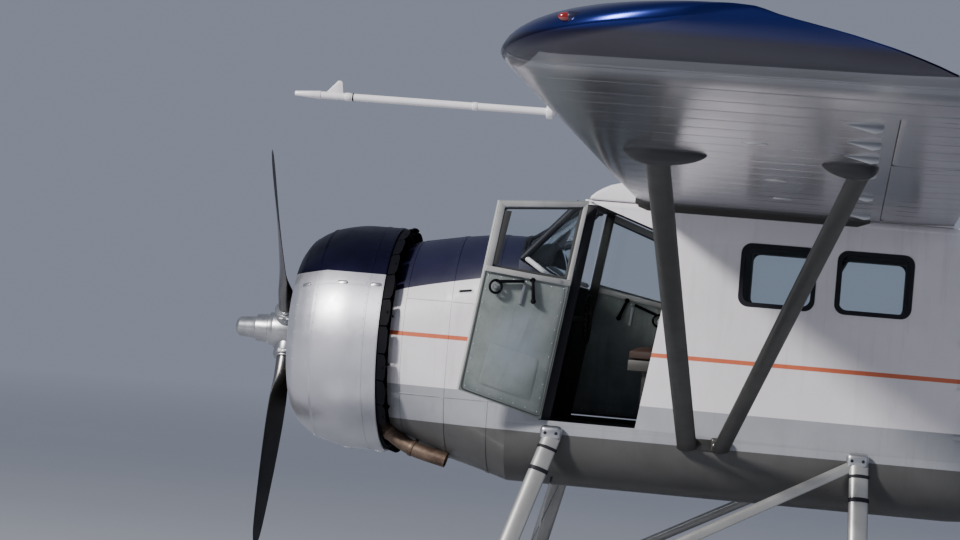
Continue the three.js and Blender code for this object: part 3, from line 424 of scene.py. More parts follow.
def between(tree, value, low, high, soft=0.0015):
    return times(tree, above(tree, value, low, soft), less(tree, 1.0, above(tree, value, high, soft)))


def finish(name, colour, roughness=0.5, metallic=0.0, worn=None, patch=2.5, shade=0.82, grain=0.0,
           grain_size=600.0, spread=0.12, dents=0.0, dent_size=5.0, coat=0.0, paints=None, streaks=0.0,
           specular=None, place_from=None):
    """A painted or bare surface: blotchy tone, varied gloss, streaks, fine grain and shallow dents."""
    made = bpy.data.materials.new(name)
    made.use_nodes = True
    made.diffuse_color = (*colour[:3], 1.0)
    tree = made.node_tree
    shader = tree.nodes["Principled BSDF"]
    place = node(tree, "ShaderNodeTexCoord").outputs["Object"]
    if place_from:
        place = place_from(tree, place)
    blotches = ramp(tree, noise(tree, place, patch, 6.0, 0.62), 0.35, 0.68)
    dark = [c * shade for c in colour[:3]] if worn is None else worn
    tone = mixed(tree, blotches, dark, colour)
    if paints:
        tone = paints(tree, place, tone)
    if streaks:
        lines = ramp(tree, noise(tree, stretched(tree, place, (9, 9, 0.8)), 1.6, 5.0, 0.7), 0.52, 0.8, 0.0,
                     streaks)
        stained = node(tree, "ShaderNodeVectorMath", {0: tone, "Scale": STAIN_TONE},
                       operation="SCALE").outputs["Vector"]
        tone = mixed(tree, lines, tone, stained)
    tree.links.new(tone, shader.inputs["Base Color"])
    gloss = ramp(tree, noise(tree, place, patch * 3.1, 5.0, 0.6), 0.3, 0.7,
                 max(0.02, roughness - spread / 2), min(1.0, roughness + spread / 2))
    tree.links.new(gloss, shader.inputs["Roughness"])
    shader.inputs["Metallic"].default_value = metallic
    if coat:
        shader.inputs["Coat Weight"].default_value = coat
        shader.inputs["Coat Roughness"].default_value = COAT_ROUGHNESS
    if specular is not None:
        shader.inputs["Specular IOR Level"].default_value = specular
    relief = None
    for strength, size, detail, reach in ((dents, dent_size, 2.0, 0.01), (grain, grain_size, 3.0, 0.0006)):
        if strength:
            relief = node(tree, "ShaderNodeBump", {
                "Strength": strength, "Distance": reach, "Height": noise(tree, place, size, detail),
                **({"Normal": relief} if relief else {}),
            }).outputs["Normal"]
    if relief:
        tree.links.new(relief, shader.inputs["Normal"])
    return made


# Sections and outlines, as on the drawing, in metres

NOSE_FRAMES = (0.872, 1.172, 1.46)
# Fuselage stations: x, half width, top, bottom, top corner radius, bottom corner radius
NOSE_STATIONS = [
    (0.80, 0.630, 0.630, -0.630, 0.625, 0.625),
    (0.835, 0.655, 0.655, -0.655, 0.650, 0.650),
    (1.15, 0.668, 0.715, -0.735, 0.590, 0.560),
    (1.40, 0.676, 0.745, -0.790, 0.470, 0.450),
    (1.5997, 0.680, 0.745, -0.840, 0.400, 0.360),
]
TAIL_STATIONS = [
    (5.60, 0.600, 0.930, -0.760, 0.200, 0.330),
    (7.00, 0.380, 0.720, -0.500, 0.180, 0.240),
    (8.20, 0.190, 0.560, -0.230, 0.120, 0.140),
    (9.00, 0.070, 0.470, -0.060, 0.060, 0.060),
]
# Wing section: share of the chord, height of the top and of the underside above the flat underside
WING_SECTION = [
    (0.0, 0.058, 0.058), (0.004, 0.080, 0.041), (0.012, 0.106, 0.028), (0.035, 0.146, 0.011),
    (0.08, 0.190, 0.0), (0.16, 0.230, 0.0), (0.3, 0.250, 0.0), (0.5, 0.226, 0.0), (0.7, 0.158, 0.0),
    (0.88, 0.076, 0.0), (1.0, 0.018, 0.007),
]
WING_FRONT = 2.288
WING_CHORD = 2.0
WING_LOW = 1.0
BODY_HALF = 0.68
ROOT_FACE = 0.6803
HALF_SPAN = 7.85
TIP_PEAK = 3.15
SURFACE_AXIS = 3.86
SURFACE_NOSE = 0.057
FLAP_SPAN = (0.80, 4.34)
AILERON_SPAN = (4.42, 6.42)
STRUT_Y = 4.25
# Front and rear wing strut: x at the root and at the wing, chord, thickness, cuff's reach ahead and behind
WING_STRUTS = ((2.750, 2.684, 0.125, 0.050, 0.160, 0.258), (2.960, 3.690, 0.105, 0.044, 0.190, 0.090))
FLOAT_Y = 1.35
SIDES = (("left", -1), ("right", 1))


def between_rows(rows, x):
    """A table's row at x, on straight lines between its rows."""
    for low, high in zip(rows, rows[1:]):
        if x <= high[0] or high is rows[-1]:
            share = min(1.0, max(0.0, (x - low[0]) / (high[0] - low[0])))
            return [a + share * (b - a) for a, b in zip(low, high)]
    return list(rows[-1])


def body_ring(x, half, top, low, top_round, low_round, grow=0.0, steps=12):
    """A fuselage section: a rectangle with round corners."""
    half, top, low = half + grow, top + grow, low - grow
    corners = [
        (half - top_round, top - top_round, top_round, 0),
        (-half + top_round, top - top_round, top_round, 90),
        (-half + low_round, low + low_round, low_round, 180),
        (half - low_round, low + low_round, low_round, 270),
    ]
    return [
        at(x, y + r * math.cos(math.radians(start + 90 * i / steps)),
           z + r * math.sin(math.radians(start + 90 * i / steps)))
        for y, z, r, start in corners for i in range(steps + 1)
    ]


def body_side(stations, x, z):
    """Half the body's width at a height."""
    _, half, top, low, top_round, low_round = between_rows(stations, x)
    if z > top - top_round:
        return half - top_round + math.sqrt(max(0.0, top_round ** 2 - (z - top + top_round) ** 2))
    if z < low + low_round:
        return half - low_round + math.sqrt(max(0.0, low_round ** 2 - (low + low_round - z) ** 2))
    return half


def body_form(stations, xs):
    return skin([body_ring(*between_rows(stations, x)) for x in xs])


def hoop(stations, x, width, proud, sunk=0.002):
    """A flat band round the fuselage at x."""
    edges = [(x - width / 2, -sunk), (x - width / 2, proud), (x + width / 2, proud), (x + width / 2, -sunk)]
    return skin([body_ring(*between_rows(stations, e), grow=g) for e, g in edges], closed_along=True)


def even(low, high, count):
    return [low + (high - low) * i / (count - 1) for i in range(count)]


def section_at(share, side):
    """The section's height at a share of the chord, on straight lines: side 1 is the top, 2 the underside."""
    return between_rows(WING_SECTION, share)[side]


def tip_edges(y):
    """Front and rear edge of the wing at y, curved in at the tip."""
    def bend(start):
        share = min(1.0, max(0.0, (abs(y) - start) / (HALF_SPAN + 0.004 - start)))
        return 1 - math.sqrt(1 - share * share)
    rear = WING_FRONT + WING_CHORD
    return WING_FRONT + (TIP_PEAK - WING_FRONT) * bend(7.10), rear - (rear - TIP_PEAK) * bend(6.70)


# Wing stations: y, share of the full thickness
TIP_SQUEEZE = [
    (ROOT_FACE, 1), (6.70, 1), (7.10, 0.97), (7.30, 0.9), (7.47, 0.78), (7.60, 0.64), (7.71, 0.5),
    (7.79, 0.37), (7.83, 0.27), (7.847, 0.14),
]
SMOOTH_SHARES = [0.0, 0.0015, 0.004, 0.008, 0.014, 0.022, 0.032, 0.045, 0.06, 0.08, 0.11, 0.15, 0.2, 0.26,
                 0.33, 0.42, 0.52, 0.62, 0.72, 0.82, 0.91, 1.0]


def smooth_height(share, side):
    """The section's height on a smooth line through its points; near the nose it follows a square root."""
    rows = [(math.sqrt(s), top, low) for s, top, low in WING_SECTION]
    x = math.sqrt(share)
    for i in range(len(rows) - 1):
        if x <= rows[i + 1][0] or i == len(rows) - 2:
            a, b, c, d = rows[max(i - 1, 0)], rows[i], rows[i + 1], rows[min(i + 2, len(rows) - 1)]
            t = (x - b[0]) / (c[0] - b[0])
            slope_b = (c[side] - a[side]) / max(1e-6, c[0] - a[0]) * (c[0] - b[0])
            slope_c = (d[side] - b[side]) / max(1e-6, d[0] - b[0]) * (c[0] - b[0])
            return ((2 * t ** 3 - 3 * t * t + 1) * b[side] + (t ** 3 - 2 * t * t + t) * slope_b
                    + (3 * t * t - 2 * t ** 3) * c[side] + (t ** 3 - t * t) * slope_c)
    return rows[-1][side]


def wing_spot(y, share, side, grow=0.0, straight=False):
    """A point of the wing's surface: side 1 is the top and 2 the underside."""
    squeeze = between_rows(TIP_SQUEEZE, abs(y))[1]
    front, rear = tip_edges(y)
    up = WING_LOW + (abs(y) - BODY_HALF) * math.tan(DIHEDRAL) + (1 - squeeze) * 0.25 * 0.7
    high = section_at(share, side) if straight else smooth_height(share, side)
    high = high * squeeze + (grow if side == 1 else -grow)
    ahead = grow if share < 0.002 else 0.0
    return at(front + share * (rear - front) - ahead, y, up + share * (1 - squeeze) * 0.06 + high)


def wing_ring(y, grow=0.0, shares=SMOOTH_SHARES):
    """The wing's section at y, nose to tail on top and back along the underside."""
    return [wing_spot(y, s, 1, grow) for s in shares] + [wing_spot(y, s, 2, grow)
                                                         for s in reversed(shares[1:])]


def tape_over(spot_at, path, width, proud=0.0007, sunk=0.0004):
    """A thin tape laid on a surface: spot_at(across, spot, height) gives its points along the path."""
    half = width / 2
    return skin([[spot_at(-half, spot, -sunk), spot_at(-half * 0.7, spot, proud),
                  spot_at(half * 0.7, spot, proud), spot_at(half, spot, -sunk)] for spot in path])


def under_wing(y):
    """Height of the wing's flat underside at y."""
    return WING_LOW + (abs(y) - BODY_HALF) * math.tan(DIHEDRAL)


def streamlined(start, end, chord, thick, sides=24):
    """A streamlined bar: rounded in front, sharp behind."""
    start, end = Vector(start), Vector(end)
    span = (end - start).normalized()
    fore = (Vector((1, 0, 0)) - span * span.x).normalized()
    side = span.cross(fore)
    rings = []
    for centre in (start, start.lerp(end, 0.5), end):
        ring = []
        for k in range(sides):
            turn = 2 * math.pi * k / sides
            along = -math.cos(turn) * 0.5 + 0.08
            across = math.sin(turn) * (0.5 + 0.16 * math.cos(turn))
            ring.append(centre + fore * along * chord + side * across * thick)
        rings.append(ring)
    return skin(rings)


# What a user may change


def colour_prop(name, description, default):
    return FloatVectorProperty(name=name, description=description, subtype="COLOR", size=3, min=0.0, max=1.0,
                               default=default)


class FloatplaneColours(bpy.types.PropertyGroup):
    """Colours of the paint and of the bare materials."""

    hull: colour_prop("Hull white", "Paint of the fuselage's sides", (0.74, 0.71, 0.74))
    trim: colour_prop("Trim blue", "Paint of the cowling's top, the nose deck and the tips",
                      (0.009, 0.0085, 0.034))
    # A lighter, bluer copy of the trim: painted sunlight on the tips' upper side.
    painted_sunlit_trim: colour_prop("Upper trim blue", "Paint of the wing tips' upper side", (0.010, 0.018, 0.120))
    stripe: colour_prop("Stripe", "Thin line along the sides", (0.55, 0.13, 0.06))
    band: colour_prop("Lower band", "Band under the white", (0.33, 0.34, 0.37))
    # The belly's dark grey is painted shade: the rounded underside that turns away from the light.
    belly: colour_prop("Belly", "Underside of the fuselage", (0.085, 0.085, 0.085))
    wing: colour_prop("Wing silver", "Doped fabric of the wing and tail", (0.30, 0.31, 0.345))
    strut: colour_prop("Struts", "Dark olive grey of the wing struts", (0.026, 0.026, 0.023))
    door_inside: colour_prop("Door inside", "Grey green inner skins", (0.27, 0.30, 0.29))
    leather: colour_prop("Seats", "Leather of the seats", (0.042, 0.022, 0.016))


class FloatplaneSizes(bpy.types.PropertyGroup):
    """Sizes of the added fittings."""

    rivet: FloatProperty(name="Rivet radius", description="Radius of the rivet heads", default=0.0042,
                         min=0.002, max=0.01, subtype="DISTANCE", unit="LENGTH")
    rivet_pitch: FloatProperty(name="Rivet pitch", description="Distance between rivets", default=0.075,
                               min=0.03, max=0.3, subtype="DISTANCE", unit="LENGTH")
    rib_pitch: FloatProperty(name="Rib pitch", description="Distance between the wing's ribs", default=0.36,
                             min=0.2, max=0.8, subtype="DISTANCE", unit="LENGTH")
    tape: FloatProperty(name="Rib tape", description="Width of the tapes over the ribs", default=0.045,
                        min=0.01, max=0.1, subtype="DISTANCE", unit="LENGTH")
    cowl_flaps: IntProperty(name="Cowl flaps", description="Flaps in the ring behind the cowling", default=26,
                            min=8, max=48)


class FloatplaneStudio(bpy.types.PropertyGroup):
    """Light and floor of the studio."""

    key: FloatProperty(name="Key light", description="Power of the large key light", default=6400.0,
                       min=0.0, max=60000.0, subtype="POWER", unit="POWER")
    fill: FloatProperty(name="Fill light", description="Power of the fill light", default=160.0,
                        min=0.0, max=60000.0, subtype="POWER", unit="POWER")
    floor: colour_prop("Floor", "Pale floor", (0.52, 0.53, 0.56))
    air: colour_prop("Air", "Colour of the air round the object", (0.66, 0.73, 0.92))
    air_light: FloatProperty(name="Air light", description="Strength of the light from all round",
                             default=0.34, min=0.0, max=4.0)


def colours():
    return bpy.context.scene.floatplane_colours


def sizes():
    return bpy.context.scene.floatplane_sizes


def studio():
    return bpy.context.scene.floatplane_studio


# Finishes

STRIPE_HEIGHT = 0.052
STRIPE_HALF = 0.014
WHITE_ENDS = -0.273
BAND_ENDS = -0.500
DECK_FRONT = 0.78
DECK_REAR = 1.945
DECK_LOW = 0.312
DECK_HIGH = 0.452
DECK_RISE = 0.205
TIP_BLUE = 7.45
NOSE_BLUE = 7.12
FIN_BLUE = 1.46


def side_paint(tree, place, tone):
    """Stripe, lower band and dark belly by height, the belly's darkness being painted shade on the underside;
    the deck of the nose in the trim colour.
    """
    x, _, z = axes_of(tree, place)
    shade = ramp(tree, noise(tree, place, 3.0, 5.0), 0.3, 0.7, 0.0, 1.0)
    c = colours()
    band = mixed(tree, shade, [v * 0.85 for v in c.band], c.band)
    belly = mixed(tree, shade, [v * 0.8 for v in c.belly], c.belly)
    trim = mixed(tree, shade, [v * 0.8 for v in c.trim], c.trim)
    tone = mixed(tree, between(tree, z, STRIPE_HEIGHT - STRIPE_HALF, STRIPE_HEIGHT + STRIPE_HALF), tone,
                 c.stripe)
    tone = mixed(tree, above(tree, z, WHITE_ENDS), band, tone)
    # Painted shade: below the band the underside is darkened as if in shadow.
    tone = mixed(tree, above(tree, z, BAND_ENDS), belly, tone)
    rise = math_node(tree, "POWER", math_node(tree, "MAXIMUM", less(tree, x, DECK_FRONT), 0.001), 0.8)
    edge = math_node(tree, "MINIMUM", plus(tree, DECK_LOW, times(tree, DECK_RISE, rise)), DECK_HIGH)
    on_deck = times(tree, above(tree, less(tree, z, edge), 0.0),
                    less(tree, 1.0, above(tree, x, DECK_REAR)))
    return mixed(tree, on_deck, tone, trim)


def wing_paint(tree, place, tone):
    """Trim colour on the tips, with painted sunlight on their upper side; a paler strip on the nose and a
    paler band near the tip are painted highlights.
    """
    x, y, z = axes_of(tree, place)
    reach = math_node(tree, "ABSOLUTE", y)
    c = colours()
    # Painted highlights: a paler strip along the nose and a paler band across the wing near the tip.
    pale = [min(1.0, v * 1.45) for v in c.wing]
    nose = less(tree, 1.0, above(tree, x, WING_FRONT + 0.030, 0.006))
    tone = mixed(tree, nose, tone, pale)
    tone = mixed(tree, between(tree, reach, 7.20, 7.30, 0.02), tone, pale)
    past = less(tree, reach, NOSE_BLUE)
    edge = plus(tree, 2.36, times(tree, 0.35, past))
    on_nose = times(tree, above(tree, past, 0.0), above(tree, less(tree, edge, x), 0.0))
    on_tip = math_node(tree, "MAXIMUM", above(tree, reach, TIP_BLUE), on_nose)
    rise = less(tree, z, plus(tree, 0.982, times(tree, 0.0262, reach)))
    # Underside of the tips in the trim, upper side in its lighter copy as painted sunlight.
    blue = mixed(tree, above(tree, rise, 0.105, 0.01), c.trim, c.painted_sunlit_trim)
    return mixed(tree, on_tip, tone, blue)


def fin_paint(tree, place, tone):
    """The thin stripe runs on over the rudder, and the fin's top is in the trim colour."""
    z = axes_of(tree, place)[2]
    c = colours()
    tone = mixed(tree, between(tree, z, STRIPE_HEIGHT - STRIPE_HALF, STRIPE_HEIGHT + STRIPE_HALF), tone,
                 c.stripe)
    return mixed(tree, above(tree, z, FIN_BLUE), tone, c.trim)


def door_patch(tree, place, tone):
    """A paler, bluer worn patch in the middle of the open door's inner skin."""
    x, _, z = axes_of(tree, place)
    across = times(tree, less(tree, x, 2.15), 5.0)
    up = times(tree, plus(tree, z, 0.03), 3.6)
    away = plus(tree, times(tree, across, across), times(tree, up, up))
    rough = plus(tree, away, noise(tree, place, 9.0, 5.0))
    return mixed(tree, ramp(tree, rough, 0.4, 1.7, 0.75, 0.0), tone, (0.27, 0.32, 0.37))


def cowl_paint(tree, place, tone):
    """The upper part in the trim colour."""
    x, _, z = axes_of(tree, place)
    edge = ramp(tree, x, 0.05, 0.35, 0.36, 0.417)
    shade = ramp(tree, noise(tree, place, 3.0, 5.0), 0.3, 0.7)
    c = colours()
    trim = mixed(tree, shade, [v * 0.7 for v in c.trim], c.trim)
    return mixed(tree, above(tree, less(tree, z, edge), 0.0), tone, trim)


def paint(name):
    return bpy.data.materials[name]


def make_finishes():
    c = colours()
    finish("hull_paint", c.hull, 0.45, grain=0.08, grain_size=260, dents=0.04, dent_size=2.0, coat=0.08,
           shade=0.93, paints=side_paint, streaks=0.22, specular=0.35)
    enamel = {"roughness": 0.42, "grain_size": 260, "coat": 0.25, "shade": 0.93}
    finish("open_door_paint", c.hull, grain=0.12, paints=side_paint, streaks=0.25, place_from=shut_place,
           **enamel)
    finish("fin_paint", c.hull, grain=0.1, streaks=0.2, paints=fin_paint, **enamel)
    finish("plain_white", c.hull, grain=0.1, streaks=0.2, **enamel)
    finish("trim_paint", c.trim, 0.34, grain=0.08, grain_size=300, coat=0.2, shade=0.75)
    fabric = {"dents": 0.006, "dent_size": 0.8, "shade": 0.9, "patch": 0.9, "spread": 0.05}
    finish("wing_dope", c.wing, 0.22, metallic=0.85, paints=wing_paint, **fabric)
    finish("tail_dope", c.wing, 0.30, metallic=0.8, **fabric)
    finish("cowl_metal", (0.60, 0.60, 0.65), 0.42, metallic=0.86, dents=0.02, dent_size=1.6, shade=0.9,
           paints=cowl_paint, streaks=0.05)
    finish("float_metal", (0.50, 0.51, 0.53), 0.38, metallic=0.85, grain=0.12, grain_size=300, dents=0.12,
           dent_size=4.0, shade=0.8, streaks=0.2)
    finish("bare_metal", (0.55, 0.56, 0.58), 0.32, metallic=0.95, grain=0.1, shade=0.8)
    finish("strut_paint", c.strut, 0.38, grain=0.1, grain_size=300, shade=0.75, coat=0.2)
    finish("cuff_paint", (0.006, 0.006, 0.012), 0.45, grain=0.1, grain_size=300, shade=0.7, coat=0.2)
    finish("float_strut_metal", (0.46, 0.46, 0.45), 0.36, metallic=0.6, grain=0.1, shade=0.8)
    finish("black_paint", (0.005, 0.005, 0.008), 0.6, grain=0.1, shade=0.6, specular=0.08)
    finish("engine_grey", (0.055, 0.057, 0.062), 0.5, metallic=0.35, grain=0.3, grain_size=500, shade=0.6)
    finish("cylinder_steel", (0.13, 0.125, 0.12), 0.5, metallic=0.7, grain=0.2, shade=0.6)
    finish("exhaust_steel", (0.22, 0.16, 0.12), 0.55, metallic=0.75, grain=0.3, worn=(0.09, 0.06, 0.045),
           patch=9.0)
    finish("blade_front", (0.20, 0.195, 0.195), 0.3, metallic=0.9, grain=0.06, grain_size=300, shade=0.8)
    finish("hub_metal", (0.42, 0.43, 0.45), 0.34, metallic=0.9, grain=0.1, shade=0.7, patch=8.0)
    finish("blade_rear", (0.008, 0.007, 0.007), 0.6, grain=0.15, grain_size=500, shade=0.6)
    finish("frame_dark", (0.010, 0.010, 0.016), 0.55, grain=0.1, shade=0.7, specular=0.25)
    worn_skin = {"grain": 0.25, "grain_size": 220, "patch": 5.0, "worn": (0.17, 0.20, 0.19), "streaks": 0.35}
    finish("door_inner", c.door_inside, 0.5, **worn_skin)
    finish("open_door_inner", c.door_inside, 0.5, place_from=shut_place, paints=door_patch, **worn_skin)
    finish("door_frame", (0.50, 0.50, 0.49), 0.42, grain=0.12, shade=0.8, patch=6.0)
    # The near-black lining is painted shade for the inside of the cabin.
    finish("cabin_lining_painted_shade", (0.030, 0.034, 0.034), 0.8, grain=0.3, grain_size=260, shade=0.7)
    finish("cabin_floor", (0.10, 0.09, 0.08), 0.6, grain=0.3, grain_size=160, shade=0.7)
    finish("panel_black", (0.010, 0.010, 0.011), 0.6, grain=0.5, grain_size=700, shade=0.7)
    finish("rubber", (0.007, 0.007, 0.008), 0.85, grain=0.25, grain_size=300, shade=0.7, specular=0.15)
    finish("seat_shell", (0.045, 0.043, 0.04), 0.5, metallic=0.3, grain=0.2, shade=0.7)
    finish("leather", c.leather, 0.52, grain=0.5, grain_size=240, shade=0.65, patch=7.0)
    finish("belt_webbing", (0.24, 0.22, 0.17), 0.8, grain=0.6, grain_size=900, shade=0.8)
    finish("brass", (0.62, 0.45, 0.18), 0.35, metallic=0.95, grain=0.08, shade=0.75)
    pane_material("clear_pane")
    lamp_material("port_lamp", (0.30, 0.008, 0.008))
    lamp_material("starboard_lamp", (0.02, 0.45, 0.10))
    lamp_material("tail_lamp", (0.85, 0.85, 0.8))


def pane_material(name):
    """Clear acrylic with faint scratches."""
    made = bpy.data.materials.new(name)
    made.use_nodes = True
    tree = made.node_tree
    shader = tree.nodes["Principled BSDF"]
    shader.inputs["Base Color"].default_value = (0.86, 0.91, 0.93, 1)
    shader.inputs["Transmission Weight"].default_value = 1.0
    shader.inputs["IOR"].default_value = 1.08
    shader.inputs["Specular IOR Level"].default_value = 0.5
    shader.inputs["Coat Weight"].default_value = 0.35
    shader.inputs["Coat Roughness"].default_value = 0.03
    place = node(tree, "ShaderNodeTexCoord").outputs["Object"]
    tree.links.new(ramp(tree, noise(tree, stretched(tree, place, (3, 3, 40)), 9.0), 0.4, 0.8, 0.01, 0.07),
                   shader.inputs["Roughness"])
    return made


def lamp_material(name, colour):
    """A coloured lamp glass, unlit."""
    made = finish(name, colour, 0.12, shade=0.8, patch=20)
    shader = made.node_tree.nodes["Principled BSDF"]
    shader.inputs["Coat Weight"].default_value = 1.0
    shader.inputs["Transmission Weight"].default_value = 0.3
    return made


# Pieces


class MakeFinishes(bpy.types.Operator):
    """Makes every finish that the pieces use."""

    bl_idname = "floatplane.finishes"
    bl_label = "Finishes"
    bl_options = {"REGISTER", "UNDO"}

    def execute(self, context):
        make_finishes()
        return {"FINISHED"}


# The camera as fitted to the photograph: place on the drawing, yaw, pitch and roll in degrees, and lens
CAMERA_PLACE = (3.69, -16.986, 0.24)
CAMERA_TURNS = (8.15, 0.89, 4.89)
CAMERA_LENS = 97.14
CAMERA_SENSOR = 36.0
LAMPS_AIM = (-1.5, 0, 2.8)
FLOOR_SIZE = 400.0
FLOOR_GAP = 0.002
FLOOR_FADE = (14.0, 60.0)


class MakeStage(bpy.types.Operator):
    """The camera at the photograph's angle, the pale floor and the soft lights."""

    bl_idname = "floatplane.stage"
    bl_label = "Stage"
    bl_options = {"REGISTER", "UNDO"}

    def execute(self, context):
        settings = studio()
        clear_selection()
        bpy.ops.object.camera_add(location=at(*CAMERA_PLACE))
        camera = bpy.context.object
        camera.name = "camera"
        yaw, pitch, roll = (math.radians(turn) for turn in CAMERA_TURNS)
        ahead = Vector((-math.sin(yaw) * math.cos(pitch), math.cos(yaw) * math.cos(pitch), math.sin(pitch)))
        level = Vector((math.cos(yaw), math.sin(yaw), 0))
        upward = level.cross(ahead)
        right = math.cos(roll) * level + math.sin(roll) * upward
        up = math.cos(roll) * upward - math.sin(roll) * level
        camera.rotation_euler = Matrix((right, up, -ahead)).transposed().to_euler()
        camera.data.sensor_width = CAMERA_SENSOR
        camera.data.lens = CAMERA_LENS
        camera.data.clip_end = FLOOR_SIZE
        context.scene.camera = camera

        bpy.ops.mesh.primitive_plane_add(size=FLOOR_SIZE, location=(0, 0, -FLOOR_GAP))
        floor = placed(bpy.context.object, "floor")
        floor.data.materials.append(self.floor_finish(settings))

        for name, place, size, power, colour in (
            ("key", (-14.5, -15.5, 12.8), 2.4, settings.key, (1.0, 0.97, 0.94)),
            ("fill", (14.0, -18.0, 7.0), 12.0, settings.fill, (0.93, 0.96, 1.0)),
            ("back", (4.0, 18.0, 12.0), 10.0, settings.fill, (0.93, 0.96, 1.0)),
        ):
            clear_selection()
            bpy.ops.object.light_add(type="AREA", location=place)
            lamp = bpy.context.object
            lamp.name = name
            lamp.data.energy = power
            lamp.data.size = size
            lamp.data.color = colour
            lamp.rotation_euler = (Vector(LAMPS_AIM) - Vector(place)).to_track_quat("-Z", "Y").to_euler()

        world = bpy.data.worlds.new("studio_air")
        world.use_nodes = True
        world.node_tree.nodes["Background"].inputs["Color"].default_value = (*settings.air, 1)
        world.node_tree.nodes["Background"].inputs["Strength"].default_value = settings.air_light
        context.scene.world = world
        return {"FINISHED"}

    def floor_finish(self, settings):
        """A pale floor that fades into the air far from the object."""
        made = finish("floor_grey", settings.floor, 0.75, shade=0.97, patch=0.3, specular=0.2)
        tree = made.node_tree
        place = node(tree, "ShaderNodeTexCoord").outputs["Object"]
        away = node(tree, "ShaderNodeVectorMath", {0: place}, operation="LENGTH").outputs["Value"]
        glow = node(tree, "ShaderNodeEmission", {"Color": (*settings.air, 1), "Strength": settings.air_light})
        blend = node(tree, "ShaderNodeMixShader", {0: ramp(tree, away, *FLOOR_FADE)})
        tree.links.new(tree.nodes["Principled BSDF"].outputs["BSDF"], blend.inputs[1])
        tree.links.new(glow.outputs["Emission"], blend.inputs[2])
        tree.links.new(blend.outputs["Shader"], tree.nodes["Material Output"].inputs["Surface"])
        return made


